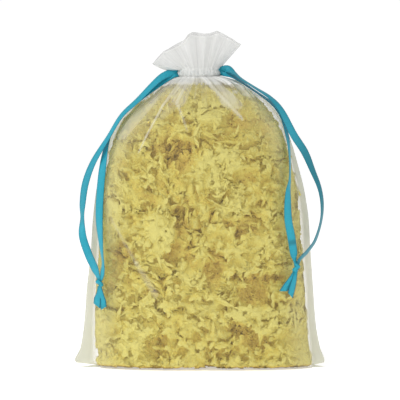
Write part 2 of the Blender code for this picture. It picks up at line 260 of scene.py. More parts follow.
# How much painted shade, as darker and duller satin, a strand takes at a height in mm, from 0 to 1: where it
# turns away from the light, and in one fold of the right inner strand
STRAND_SHADE_SHOWS = {
    "ribbon_left_outer": lambda height: np.clip((height - 112.0) / 14.0, 0.0, 0.3)
    * (1.0 - smooth_step(150.0, 190.0, height)),
    "ribbon_left_inner": lambda height: 0.0 * height,
    "ribbon_right_outer": lambda height: 0.85 - 0.6 * smooth_step(165.0, 190.0, height),
    "ribbon_right_inner": lambda height: np.clip(1.3 - np.abs(height - 101.5) / 2.2, 0.0, 0.8),
}
CHANNEL_ENDS = {
    "ribbon_left_outer": (-16.5, 0.0, 235.2, 0.0),
    "ribbon_left_inner": (-16.5, -1.0, 232.8, 20.0),
    "ribbon_right_outer": (14.5, -1.0, 236.0, 0.0),
    "ribbon_right_inner": (15.5, -1.0, 233.6, 20.0),
}
KNOT_ENDS = {
    "ribbon_left_outer": (-79.2, -24.2, 70.6, 30.0),
    "ribbon_left_inner": (-78.5, -24.6, 70.6, 40.0),
    "ribbon_right_outer": (76.4, -27.6, 83.6, 20.0),
    "ribbon_right_inner": (75.4, -28.2, 83.4, 40.0),
}


def smooth_step(low, high, value):
    share = np.clip((value - low) / (high - low), 0.0, 1.0)
    return share * share * (3.0 - 2.0 * share)


def smooth_route(points, stations):
    """Stations on a smooth curve through a route's own points."""
    rows = np.array(points, float)
    padded = np.vstack([rows[:1], rows, rows[-1:]])
    place = np.linspace(0.0, len(rows) - 1.0, stations)
    span = np.minimum(place.astype(int), len(rows) - 2)
    t = (place - span)[:, None]
    a, b, c, d = (padded[span + shift] for shift in range(4))
    bend = (2.0 * a - 5.0 * b + 4.0 * c - d) * t ** 2
    twist = (3.0 * b - a - 3.0 * c + d) * t ** 3
    return 0.5 * (2.0 * b + (c - a) * t + bend + twist)


def unit(rows):
    return rows / np.maximum(np.linalg.norm(rows, axis=-1, keepdims=True), 1e-12)


def evenly(route, step):
    """The same route with its stations a step apart, in metres."""
    travelled = travelled_along(route[:, :3] * MM)
    wanted = np.linspace(0.0, travelled[-1], max(4, int(travelled[-1] / step)))
    columns = [np.interp(wanted, travelled, column) for column in route.T]
    return np.stack(columns, axis=1), wanted


def ribbon_faces(places, lean, side):
    """Along, across and face directions of a ribbon that looks to the front and leans towards one side."""
    along = unit(np.gradient(places, axis=0))
    front = np.array([0.0, -1.0, 0.0])
    front = unit(front - along * (along @ front)[:, None])
    across = np.cross(along, front)
    across[across[:, 0] * side < 0.0] *= -1.0
    face = front * np.cos(lean)[:, None] + across * np.sin(lean)[:, None]
    return along, unit(np.cross(along, face)), face


def grid_faces(rows, columns, closed=False):
    """Quads of a grid of vertices, row by row; closed joins the last column to the first."""
    row, column = np.meshgrid(np.arange(rows - 1), np.arange(columns - (not closed)), indexing="ij")
    after = (column + 1) % columns
    here, ahead = row * columns, (row + 1) * columns
    corners = (here + column, here + after, ahead + after, ahead + column)
    return np.stack([corner.ravel() for corner in corners], axis=1)


def mesh_from(name, places, faces):
    """A mesh from arrays of places and of quads."""
    mesh = bpy.data.meshes.new(name)
    mesh.vertices.add(len(places))
    mesh.vertices.foreach_set("co", np.asarray(places, np.float32).ravel())
    mesh.loops.add(faces.size)
    mesh.loops.foreach_set("vertex_index", faces.ravel().astype(np.int32))
    mesh.polygons.add(len(faces))
    sides = faces.shape[1]
    mesh.polygons.foreach_set("loop_start", np.arange(len(faces), dtype=np.int32) * sides)
    mesh.update(calc_edges=True)
    mesh.validate()
    mesh.shade_smooth()
    return mesh


def add_piece(name, mesh, material):
    mesh.materials.append(material)
    piece = bpy.data.objects.new(name, mesh)
    bpy.context.scene.collection.objects.link(piece)
    return piece


def add_strip_map(mesh, along, across):
    """A UV map on a strip: across the ribbon from 0 to 1, and along it in ribbon widths."""
    layer = mesh.uv_layers.new(name="ribbon")
    loops = np.empty(len(mesh.loops), np.int32)
    mesh.loops.foreach_get("vertex_index", loops)
    layer.data.foreach_set("uv", np.stack([across[loops], along[loops]], axis=1).astype(np.float32).ravel())


def mark_places(mesh, name, values):
    """A number for each vertex, under a name that a material or a node tree reads."""
    layer = mesh.attributes.new(name, "FLOAT", "POINT")
    layer.data.foreach_set("value", np.asarray(values, np.float32).ravel())


def travelled_along(places):
    """How far along a route each of its places lies, from its first one."""
    return np.concatenate([[0.0], np.cumsum(np.linalg.norm(np.diff(places, axis=0), axis=1))])


def strip_mesh(name, places, lean, widths, side):
    """A flat ribbon along places, a little cupped across: its edges and middle catch the light apart."""
    _, across, face = ribbon_faces(places, lean, side)
    grid = places[:, None] + across[:, None] * (widths[:, None] * ACROSS)[..., None]
    grid = grid + face[:, None] * (CUPPED * RIBBON_CUP)[None, :, None]
    mesh = mesh_from(name, grid.reshape(-1, 3), grid_faces(len(places), RIBBON_ACROSS))
    along = np.repeat(travelled_along(places) / RIBBON_WIDTH, RIBBON_ACROSS)
    add_strip_map(mesh, along, np.tile(ACROSS + 0.5, len(places)))
    return mesh


def make_plain(piece):
    """Leave a piece with its modifiers' result as a plain mesh of its own."""
    deps = bpy.context.evaluated_depsgraph_get()
    made = bpy.data.meshes.new_from_object(piece.evaluated_get(deps))
    piece.modifiers.clear()
    piece.data = made
    return piece


def thicken(piece, thickness):
    """Give a strip its real thickness and leave it a plain mesh."""
    solid = piece.modifiers.new("thickness", "SOLIDIFY")
    solid.thickness = thickness
    solid.offset = 0.0
    return make_plain(piece)


def colour_ramp(tree, *stops):
    """A ramp through stops of a position and a colour, from the lowest to the highest."""
    ramp = add_node(tree, "ShaderNodeValToRGB")
    ends = ramp.color_ramp.elements
    ends[0].position, ends[0].color = stops[0][0], stops[0][1] + (1.0,)
    ends[1].position, ends[1].color = stops[-1][0], stops[-1][1] + (1.0,)
    for position, colour in stops[1:-1]:
        ramp.color_ramp.elements.new(position).color = colour + (1.0,)
    return ramp


def satin_material():
    """Satin: darker at the woven edges, partly the selvedge and partly painted shade, with a painted
    highlight down the middle, painted shade where a strand turns away from the light, and painted sheen in
    faint waves that run along the ribbon.
    """
    satin, tree, shader = finish_of(
        "turquoise_satin", Roughness=0.42, Specular_IOR_Level=0.35, Sheen_Weight=0.05, Sheen_Roughness=0.4
    )
    strip = add_node(tree, "ShaderNodeUVMap", {"uv_map": "ribbon"})
    split = add_node(tree, "ShaderNodeSeparateXYZ")
    edge = colour_ramp(
        tree,
        (0.0, SATIN_EDGE_AND_SHADE),
        (0.06, SATIN_FACE),
        (0.5, SATIN_MIDDLE_HIGHLIGHT),
        (0.94, SATIN_FACE),
        (1.0, SATIN_EDGE_AND_SHADE),
    )
    # The "back" attribute mixes in the darker satin: painted shade.
    back = add_node(tree, "ShaderNodeAttribute", {"attribute_name": "back"})
    face = add_node(tree, "ShaderNodeMix", {"data_type": "RGBA"}, B=SATIN_IN_SHADE + (1.0,))
    # Painted sheen: noise stretched along the ribbon makes its colour lighter and darker in long faint waves.
    stretch = add_node(tree, "ShaderNodeMapping", Scale=(14.0, 0.9, 1.0))
    wave = add_node(tree, "ShaderNodeTexNoise", Scale=6.0, Detail=3.0)
    shade = add_node(tree, "ShaderNodeMapRange", From_Min=0.32, From_Max=0.68, To_Min=0.68, To_Max=1.08)
    shaded = add_node(tree, "ShaderNodeVectorMath", {"operation": "SCALE"})
    bump = add_node(tree, "ShaderNodeBump", Strength=0.25, Distance=0.2 * MM)
    wire(
        tree,
        (strip, "UV", split, 0),
        (split, "X", edge, "Fac"),
        (back, "Fac", face, "Factor"),
        (edge, "Color", face, "A"),
        (strip, "UV", stretch, "Vector"),
        (stretch, "Vector", wave, "Vector"),
        (wave, "Fac", shade, "Value"),
        (face, "Result", shaded, 0),
        (shade, "Result", shaded, "Scale"),
        (shaded, "Vector", shader, "Base Color"),
        (wave, "Fac", bump, "Height"),
        (bump, "Normal", shader, "Normal"),
    )
    return satin


satin = satin_material()


def strand_widths(distance):
    """Widths along a strand: gathered at the mouth of the channel and drawn together at the knot."""
    opened = np.minimum(1.0, distance / PINCH_LENGTH)
    closing = np.minimum(1.0, (distance[-1] - distance) / PINCH_LENGTH)
    gathered = PINCH_AT_CHANNEL + (1.0 - PINCH_AT_CHANNEL) * opened
    tied = PINCH_AT_KNOT + (1.0 - PINCH_AT_KNOT) * closing
    return RIBBON_WIDTH * gathered * tied


def ribbon_strand(name):
    """One strand of satin from the channel down to its knot, and the route that it takes."""
    rows = (CHANNEL_ENDS[name],) + STRANDS[name] + (KNOT_ENDS[name],)
    route, distance = evenly(smooth_route(rows, ROUTE_STATIONS), RIBBON_STEP)
    places = route[:, :3] * MM
    side = math.copysign(1.0, places[0, 0])
    mesh = strip_mesh(name, places, np.radians(route[:, 3]), strand_widths(distance), side)
    # The "back" attribute carries the strands' painted shade.
    mark_places(mesh, "back", np.repeat(STRAND_SHADE_SHOWS[name](route[:, 2]), RIBBON_ACROSS))
    strand = thicken(add_piece(name + "_satin", mesh, satin), RIBBON_THICKNESS)
    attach(strand, "root")
    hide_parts(name)
    return strand, places


strands = {name: ribbon_strand(name) for name in STRANDS}

# The knots: both ends of a ribbon tied together in one overhand knot and pulled tight. The band crosses
# itself on the knot's front, and the two tails below it open to their full width and are cut at a slant.
KNOT_BAND = 3.3
# The knots' bands read past both ends of the satin's colour ramp, so their edges take the darkest colour:
# painted shade in the knots' creases.
KNOT_CREASE_SHADE = 0.1
KNOT_AROUND = 40
KNOT_BAND_BULGE = 0.4
TAIL_BULGE = 0.6
TAIL_STATIONS = 60
TAIL_WIDTH = (0.42, 0.50)
TAIL_SLANT = 1.6

# Each knot in mm: its middle and half sizes, its turns of ribbon (tilt in degrees, shift up, how proud it is
# in front, how loose), and its two tails (four points, lean in degrees, slant of the cut end)
KNOTS = {
    "ribbon_left_knot": {
        "middle": (-79.0, -24.0, 69.0),
        "half": (1.7, 2.0, 3.6),
        "bands": ((42.0, 1.9, 0.1, 1.0), (-36.0, 0.2, 0.3, 1.05), (34.0, -1.7, 0.05, 0.85)),
        "tails": (
            ((-79.2, -24.4, 66.6), (-79.6, -24.6, 60.0),
             (-81.4, -24.6, 54.6), (-81.3, -24.2, 51.0), 18.0, -2.2),
            ((-78.8, -24.9, 66.6), (-77.8, -25.3, 60.0),
             (-76.4, -25.2, 53.6), (-75.8, -24.8, 49.2), 28.0, 1.6),
        ),
    },
    "ribbon_right_knot": {
        "middle": (75.4, -27.6, 81.8),
        "half": (2.2, 2.1, 3.8),
        "bands": ((-40.0, 1.5, 0.1, 1.0), (38.0, -0.6, 0.35, 1.05), (-14.0, -2.2, 0.1, 0.85)),
        "tails": (
            ((74.9, -28.4, 79.2), (72.0, -29.6, 73.2), (68.2, -30.9, 67.2), (65.4, -31.2, 63.2), 14.0, 2.4),
            ((75.5, -28.9, 79.2), (74.2, -29.6, 72.6), (72.4, -30.6, 65.6), (70.9, -31.0, 59.8), 34.0, -2.0),
        ),
    },
}


def knot_band(middle, half, tilt, shift, proud, looseness):
    """One tilted turn of ribbon round the knot, a little proud in front where it crosses the turn below."""
    tilt = math.radians(tilt)
    turns = np.linspace(0.0, 2.0 * math.pi, KNOT_AROUND + 1)
    across = np.array([-math.sin(tilt), 0.0, math.cos(tilt)])
    sideways = np.array([math.cos(tilt), 0.0, math.sin(tilt)])
    ring = np.outer(np.cos(turns) * half[0] * looseness, sideways)
    ring += np.outer(np.sin(turns) * half[1] * looseness, (0.0, 1.0, 0.0))
    ring += np.array(middle) + across * shift
    ring[:, 1] -= proud * smooth_step(0.3, 1.0, -np.sin(turns))
    width = KNOT_BAND * (0.62 + 0.38 * smooth_step(-0.2, 0.9, -np.sin(turns)))
    outward = unit(ring - np.array(middle) - across * shift)
    raised = outward[:, None] * (CUPPED * KNOT_BAND_BULGE)[None, :, None]
    return ring[:, None] + (width[:, None] * ACROSS)[..., None] * across + raised


def knot_tail(points, lean, slant, side):
    """One tail: pinched where it leaves the knot, opening to the full width, cut off at a slant."""
    rows = [tuple(point) + (lean * (0.4 + 0.2 * index),) for index, point in enumerate(points)]
    route, distance = evenly(smooth_route(rows, TAIL_STATIONS), RIBBON_STEP / MM)
    places = route[:, :3]
    _, across, face = ribbon_faces(places, np.radians(route[:, 3]), side)
    share = distance / distance[-1]
    opened = smooth_step(0.0, 0.75, share)[:, None]
    widths = RIBBON_WIDTH / MM * (TAIL_WIDTH[0] + TAIL_WIDTH[1] * opened)
    grid = places[:, None] + (widths * ACROSS)[..., None] * across[:, None]
    grid = grid + face[:, None] * (CUPPED * TAIL_BULGE * (1.0 - 0.6 * opened))[..., None]
    cut = smooth_step(0.55, 1.0, share)[:, None] * ACROSS[None] * slant * TAIL_SLANT
    return grid + unit(np.gradient(places, axis=0))[:, None] * cut[..., None]


def tied_knot(name):
    """A knot's turns and its two tails as one piece of satin."""
    knot = KNOTS[name]
    side = math.copysign(1.0, knot["middle"][0])
    grids = [knot_band(knot["middle"], knot["half"], *band) for band in knot["bands"]]
    grids += [knot_tail(tail[:4], tail[4], tail[5], side) for tail in knot["tails"]]
    places, faces, along, across, first = [], [], [], [], 0
    for grid in grids:
        rows = grid.shape[0]
        middle = grid[:, RIBBON_ACROSS // 2]
        places.append(grid.reshape(-1, 3))
        faces.append(grid_faces(rows, RIBBON_ACROSS) + first)
        along.append(np.repeat(travelled_along(middle) * MM / RIBBON_WIDTH, RIBBON_ACROSS))
        across.append(np.tile(np.linspace(-KNOT_CREASE_SHADE, 1.0 + KNOT_CREASE_SHADE, RIBBON_ACROSS), rows))
        first += rows * RIBBON_ACROSS
    mesh = mesh_from(name, np.concatenate(places) * MM, np.concatenate(faces))
    add_strip_map(mesh, np.concatenate(along), np.concatenate(across))
    piece = thicken(add_piece(name + "_satin", mesh, satin), RIBBON_THICKNESS)
    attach(piece, "root")
    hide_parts(name)
    return piece


for name in KNOTS:
    tied_knot(name)

# The torn sponge: natural yellow sea sponge pulled apart into pieces the size of a plum. Each is a lumpy,
# porous mass with a grain. Its torn outside stands up in curled, frayed shreds that the cloth presses flat.
SPONGE_STEP = 1.8
SPONGE_MARGIN = 3
SPACE_STEP = 3.5
SPACE_MARGIN = 20.0
SPACE_WARP = 5.0
WARP_SHARE = 0.6
HEAP_HALF_DEPTH = 42.0
SPACE_WARP_LENGTH = 34.0
LUMP_LENGTH = 36.0
SPONGE_GROWTH = 14.0
PIECE_GAP = 0.3
CLOTH_CLEARANCE = 0.8
CLOTH_WALL = 0.9
NECK_BOTTOM = 231.0
SQUARENESS = 2.25
SEAM_HALF_DEPTH = 1.2
FEWEST_ON_A_RING = 40
SHOWN_DEPTH = 24.0
LUMPS_SINK = 7.0
FLAPS_SINK = 4.5
PORES_SINK = 1.2
MOST_RAISED = 1.5
SHRED_DEPTH = 18.0
SHRED_LAYER = 3.0
PRESSED_DEPTH = 3.0
SHRED_SHAPES = 9
SHRED_SEGMENTS = 24

# Clumps and hollows on the front of the heap: x and height of the middle, half width and half height in mm,
# how far a clump stands forward, and how much darker it is painted, from -1 to 1: mostly painted shade in the
# hollows and paler painted light on clumps that stand forward.
CLUMPS = (
    (-30.0, 116.0, 9.0, 20.0, 4.0, -0.5),
    (13.0, 160.0, 20.0, 16.0, 3.5, -0.35),
    (8.0, 205.0, 22.0, 9.0, 3.0, -0.2),
    (36.0, 101.0, 27.0, 24.0, 2.5, 0.22),
    (33.0, 108.0, 6.0, 4.0, -6.0, 0.5),
    (62.0, 36.0, 16.0, 12.0, 3.0, -0.3),
    (-76.0, 38.0, 9.0, 18.0, 3.0, -0.3),
    (-44.0, 24.0, 22.0, 12.0, 3.5, -0.2),
    (36.0, 44.0, 12.0, 6.0, 4.0, -0.3),
    (32.0, 33.0, 9.0, 5.0, -6.0, 0.4),
    (-7.0, 93.0, 4.0, 8.0, -5.0, 0.3),
    (-64.0, 94.0, 8.0, 7.0, -4.0, 0.35),
    (-32.0, 174.0, 9.0, 5.0, -4.0, 0.25),
    (46.0, 73.0, 22.0, 3.0, -5.0, 0.35),
    (-9.0, 128.0, 4.0, 12.0, -4.0, 0.15),
    (-66.0, 130.0, 10.0, 26.0, 3.0, 0.0),
    (48.0, 132.0, 5.0, 3.0, -4.0, 0.35),
    (-5.0, 74.0, 10.0, 8.0, 3.0, -0.15),
    (26.0, 128.0, 10.0, 10.0, 3.0, -0.25),
    (-34.0, 53.0, 12.0, 8.0, 3.0, -0.15),
)
# The shreds in metres: how far apart they stand, their half lengths, how far they tilt and how far they warp
SHRED_SIZES = {"Spacing": 0.004, "Smallest": 0.0024, "Largest": 0.0080, "Tilt": 0.8, "Warp": 0.004}
MOST_SHREDS = 200000.0
# A painted glow: a faint golden emission on the sponge lifts its shade, standing in for light through the
# fibre, though the sponge is no lamp.
SPONGE_PAINTED_GLOW = 0.065
PIECE_NAMES = sorted(name for name in frame["nodes"] if name.startswith("sponge_piece"))


def cad_tree(name):
    """A solid of the frame, closed and ready for asking how far away its skin is."""
    mesh = bmesh.new()
    mesh.from_mesh(frame["nodes"][name].data)
    bmesh.ops.remove_doubles(mesh, verts=mesh.verts, dist=0.00001)
    bmesh.ops.recalc_face_normals(mesh, faces=mesh.faces)
    tree = BVHTree.FromBMesh(mesh)
    mesh.free()
    return tree


def signed_depth(tree, place):
    """How deep a place in mm lies inside a closed CAD solid, in mm; negative outside."""
    point = Vector(place) * MM
    found, normal, _, distance = tree.find_nearest(point)
    return math.copysign(distance, (found - point).dot(normal)) / MM


def bag_sections():
    """Height, left and right edge, half depth, and both ends of the filled part, read from the frame."""
    places = np.array([vertex.co for vertex in frame["nodes"]["organza_bag"].data.vertices]) / MM
    heights = np.unique(np.round(places[:, 2], 2))
    rows = []
    for height in heights[(heights <= NECK_BOTTOM + 0.01)]:
        ring = places[np.abs(places[:, 2] - height) < 0.02]
        body = ring[np.abs(ring[:, 1]) > SEAM_HALF_DEPTH]
        if len(body) > FEWEST_ON_A_RING:
            edges = (ring[:, 0].min(), ring[:, 0].max(), np.abs(ring[:, 1]).max())
            rows.append((height,) + edges + (body[:, 0].min(), body[:, 0].max()))
    return np.array(rows)


def smooth_columns(rows, wanted):
    """Columns of a table read at wanted values of its first column, on smooth curves that don't overshoot."""
    x = rows[:, 0]
    steps = np.diff(x)
    slopes = np.diff(rows[:, 1:], axis=0) / steps[:, None]
    product = slopes[:-1] * slopes[1:]
    safe = np.where(product > 0.0, slopes[:-1] + slopes[1:], 1.0)
    mean = np.where(product > 0.0, 2.0 * product / safe, 0.0)
    tangents = np.concatenate([slopes[:1], mean, slopes[-1:]])
    span = np.clip(np.searchsorted(x, wanted, side="right") - 1, 0, len(x) - 2)
    h = steps[span][:, None]
    t = ((wanted - x[span])[:, None]) / h
    start, end = rows[span, 1:], rows[span + 1, 1:]
    first, last = tangents[span] * h, tangents[span + 1] * h
    return (
        (2 * t ** 3 - 3 * t ** 2 + 1) * start
        + (t ** 3 - 2 * t ** 2 + t) * first
        + (3 * t ** 2 - 2 * t ** 3) * end
        + (t ** 3 - t ** 2) * last
    )


def depth_in_bag(places):
    """How deep places in mm lie behind the outer face of the bag's cloth; negative outside the bag."""
    _, _, depth, left, right = smooth_columns(sections, np.clip(places[:, 2], 0.0, NECK_BOTTOM)).T
    across = np.abs(places[:, 0] - (left + right) / 2.0) / ((right - left) / 2.0)
    inside = across ** SQUARENESS + (np.abs(places[:, 1]) / depth) ** SQUARENESS < 1.0
    inside &= (places[:, 2] > 0.0) & (places[:, 2] < NECK_BOTTOM)
    distance = np.array([bag_wall.find_nearest(Vector(place) * MM)[3] for place in places]) / MM
    return np.where(inside, distance + CLOTH_WALL, -distance)


def grid_axes(low, high, step):
    return [np.arange(start, stop + step, step) for start, stop in zip(low, high)]


def grid_share(axes, places):
    """Where places lie between a grid's lines: the lower line's number and the share of the way on."""
    numbers, shares = [], []
    for axis, line in enumerate(axes):
        place = np.clip(np.interp(places[..., axis], line, np.arange(len(line))), 0.0, len(line) - 1.001)
        numbers.append(place.astype(int))
        shares.append(place - place.astype(int))
    return numbers, shares


def read_grid(values, axes, places):
    """Values of a grid read between its points at any places."""
    numbers, shares = grid_share(axes, places)
    total = 0.0
    for corner in range(8):
        weight = 1.0
        index = []
        for axis in range(3):
            up = corner >> axis & 1
            weight = weight * (shares[axis] if up else 1.0 - shares[axis])
            index.append(numbers[axis] + up)
        total = total + values[tuple(index)] * weight
    return total


def grain_noise(chance, shape, step, axes, lengths, spread=0.45):
    """Smooth random values whose waves have a chosen length in mm along each of three directions."""
    steady = [np.fft.fftfreq(count, step) for count in shape[:2]] + [np.fft.rfftfreq(shape[2], step)]
    stacked = np.stack(np.meshgrid(*steady, indexing="ij"), axis=-1)
    size = np.sqrt(sum((stacked @ axis * length) ** 2 for axis, length in zip(axes, lengths)))
    keep = np.exp(-(((size - 1.0) / spread) ** 2))
    values = np.fft.irfftn(np.fft.rfftn(chance.standard_normal(shape)) * keep, s=shape, axes=(0, 1, 2))
    return values / values.std()


def surface_net(field, low, step):
    """Places and quads of the surface where a grid of values passes from outside, below 0, to inside."""
    inside = field > 0.0
    corner_shifts = [(i, j, k) for i in (0, 1) for j in (0, 1) for k in (0, 1)]
    cells = tuple(count - 1 for count in field.shape)
    filled = sum(
        inside[i:i + cells[0], j:j + cells[1], k:k + cells[2]].astype(np.int8) for i, j, k in corner_shifts
    )
    active = np.argwhere((filled > 0) & (filled < 8))
    total = np.zeros((len(active), 3))
    crossings = np.zeros((len(active), 1))
    for axis in range(3):
        for start in corner_shifts:
            if start[axis]:
                continue
            begin = active + start
            end = begin.copy()
            end[:, axis] += 1
            first = field[tuple(begin.T)]
            second = field[tuple(end.T)]
            crossed = (first > 0.0) != (second > 0.0)
            share = np.where(crossed, first / np.where(crossed, first - second, 1.0), 0.0)
            place = np.array(start, float) + np.zeros((len(active), 3))
            place[:, axis] += share
            total += place * crossed[:, None]
            crossings += crossed[:, None]
    places = (active + total / crossings) * step + np.array(low)
    number = np.full(cells, -1, np.int64)
    number[tuple(active.T)] = np.arange(len(active))
    quads = []
    for axis in range(3):
        u, v = (axis + 1) % 3, (axis + 2) % 3
        ahead = np.take(inside, range(1, field.shape[axis]), axis=axis)
        behind = np.take(inside, range(field.shape[axis] - 1), axis=axis)
        for flip in (False, True):
            edges = np.argwhere((behind & ~ahead) if not flip else (ahead & ~behind))
            edges = edges[(edges[:, u] > 0) & (edges[:, v] > 0)]
            edges = edges[(edges[:, u] < cells[u]) & (edges[:, v] < cells[v])]
            ring = []
            for step_u, step_v in ((-1, -1), (0, -1), (0, 0), (-1, 0)):
                cell = edges.copy()
                cell[:, u] += step_u
                cell[:, v] += step_v
                ring.append(number[tuple(cell.T)])
            quad = np.stack(ring, axis=1)
            quads.append(quad[:, ::-1] if flip else quad)
    return places, np.concatenate(quads)


def random_axes(chance):
    """Three directions at right angles, the first one along a torn piece's grain."""
    grain = unit(chance.standard_normal(3))
    other = unit(np.cross(grain, chance.standard_normal(3)))
    return grain, other, np.cross(grain, other)


def shared_space():
    """The space in the bag on one grid: depth inside the cloth, and each piece's claim on the space."""
    chance = np.random.default_rng(5)
    low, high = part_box("organza_bag")
    axes = grid_axes(np.array(low) / MM - SPACE_STEP, np.array(high) / MM + SPACE_STEP, SPACE_STEP)
    grid = np.stack(np.meshgrid(*axes, indexing="ij"), axis=-1)
    flat = grid.reshape(-1, 3)
    cloth = depth_in_bag(flat).reshape(grid.shape[:3])
    inside = np.abs(grid[..., 1]) < HEAP_HALF_DEPTH
    length = (SPACE_WARP_LENGTH,) * 3
    shift = [grain_noise(chance, grid.shape[:3], SPACE_STEP, np.eye(3), length) for _ in range(3)]
    warped = grid + SPACE_WARP * WARP_SHARE * np.stack(shift, axis=-1)
    own = np.full((len(PIECE_NAMES),) + grid.shape[:3], -SPACE_MARGIN)
    for number, name in enumerate(PIECE_NAMES):
        tree = cad_tree(name)
        box_low, box_high = (np.array(corner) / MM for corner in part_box(name))
        near = (warped > box_low - SPACE_MARGIN) & (warped < box_high + SPACE_MARGIN)
        near = np.all(near, axis=-1) & inside
        own[number][near] = [max(-SPACE_MARGIN, signed_depth(tree, place)) for place in warped[near]]
    claims = []
    for number in range(len(PIECE_NAMES)):
        rival = np.delete(own, number, axis=0).max(axis=0)
        claims.append(np.minimum(own[number] + SPONGE_GROWTH, (own[number] - rival) / 2.0 - PIECE_GAP))
    lumps = grain_noise(chance, grid.shape[:3], SPACE_STEP, np.eye(3), (LUMP_LENGTH,) * 3)
    return axes, cloth, claims, lumps


def near_edges(places):
    """Shares of the torn layer's depth that are left near the bag's bottom and near its two sides."""
    low_down = 0.15 + 0.85 * smooth_step(1.0, 12.0, places[..., 2])
    least = 0.07 + 0.3 * smooth_step(0.3, 1.3, read_grid(lumps, space_axes, places * (1.0, 1.0, 1.6)))
    facing = least + (1.0 - least) * smooth_step(4.0, 20.0, np.abs(places[..., 1]))
    return low_down, facing


def clumps_at(places):
    """How far the front of the heap stands forward at places, and how much painted shade it gets there:
    mostly darker in the hollows and paler on the clumps.
    """
    forward = np.zeros(places.shape[:-1])
    clump_shade = np.zeros(places.shape[:-1])
    front = smooth_step(2.0, -12.0, places[..., 1])
    for x, height, half_width, half_height, rise, shade_share in CLUMPS:
        away = ((places[..., 0] - x) / half_width) ** 2 + ((places[..., 2] - height) / half_height) ** 2
        share = front * smooth_step(1.7, 0.5, away)
        forward += rise * share
        clump_shade += shade_share * share
    return forward, clump_shade


def torn_piece(name, number):
    """The field of one torn piece on its own grid."""
    chance = np.random.default_rng(100 + number)
    low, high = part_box(name)
    low = np.array(low) / MM - SPONGE_GROWTH - SPACE_WARP - SPONGE_MARGIN
    high = np.array(high) / MM + SPONGE_GROWTH + SPACE_WARP + SPONGE_MARGIN
    grid = np.stack(np.meshgrid(*grid_axes(low, high, SPONGE_STEP), indexing="ij"), axis=-1)
    cloth = read_grid(cloth_depth, space_axes, grid)
    claim = read_grid(claims[number], space_axes, grid)
    shown = smooth_step(SHOWN_DEPTH, SHOWN_DEPTH * 0.5, cloth)
    shape = claim.shape
    axes = random_axes(chance)
    flaps = grain_noise(chance, shape, SPONGE_STEP, axes, (30.0, 14.0, 11.0))
    fray = grain_noise(chance, shape, SPONGE_STEP, axes, (14.0, 5.0, 5.0))
    pores = grain_noise(chance, shape, SPONGE_STEP, axes, (6.0, 5.4, 5.4))
    between = smooth_step(0.35, 1.1, np.abs(flaps + 0.22 * fray))
    lump = read_grid(lumps, space_axes, grid)
    low_down, facing = near_edges(grid)
    sunk = LUMPS_SINK * smooth_step(0.2, 1.4, lump) + FLAPS_SINK * between
    sunk = sunk + 1.0 * np.abs(fray) + PORES_SINK * smooth_step(0.4, 1.6, pores)
    sunk = np.maximum(sunk - clumps_at(grid)[0], -MOST_RAISED)
    return np.minimum(claim, cloth - CLOTH_CLEARANCE - shown * (SHRED_LAYER + sunk) * low_down * facing), low


def shred_shape(chance, number):
    """One torn shred as a thin leaf about 2 long, ragged all round, curled and ruffled towards its edge."""
    turns = np.linspace(0.0, 2.0 * math.pi, SHRED_SEGMENTS, endpoint=False)
    narrow = chance.uniform(0.4, 0.8)
    outline = narrow / np.sqrt((narrow * np.cos(turns)) ** 2 + np.sin(turns) ** 2)
    for wave in range(2, 7):
        outline *= 1.0 + chance.uniform(0.0, 0.22) * np.sin(wave * turns + chance.uniform(0.0, 6.28))
    outline *= 1.0 + chance.uniform(-0.28, 0.2, SHRED_SEGMENTS)
    rings = [np.zeros((1, 3))]
    for share in (0.5, 1.0):
        flat = share * outline * (1.0 if share == 1.0 else chance.uniform(0.9, 1.1, SHRED_SEGMENTS))
        ruffle = chance.uniform(0.05, 0.16) * share ** 3 * np.sin(chance.integers(3, 6) * turns + number)
        lift = ruffle - 0.34 * share ** 2
        ring = (flat * np.cos(turns), flat * np.sin(turns), lift * np.ones_like(turns))
        rings.append(np.stack(ring, axis=1))
    places = np.concatenate(rings)
    places[:, 2] -= chance.uniform(-0.3, 0.3) * places[:, 0] ** 2
    following = np.roll(np.arange(SHRED_SEGMENTS), -1)
    fan = [(0, 1 + a, 1 + b) for a, b in enumerate(following)]
    outer = 1 + SHRED_SEGMENTS
    skirt = [(1 + a, outer + a, outer + b, 1 + b) for a, b in enumerate(following)]
    mesh = bpy.data.meshes.new("shred")
    mesh.from_pydata(places.tolist(), [], fan + skirt)
    # The rim marks each shred's edge, and the sponge's colour paints it paler: a painted highlight, like
    # light through the thin fibre.
    mark_places(mesh, "rim", np.repeat((0.0, 0.35, 1.0), (1, SHRED_SEGMENTS, SHRED_SEGMENTS)))
    return bpy.data.objects.new("shred_%d" % number, mesh)


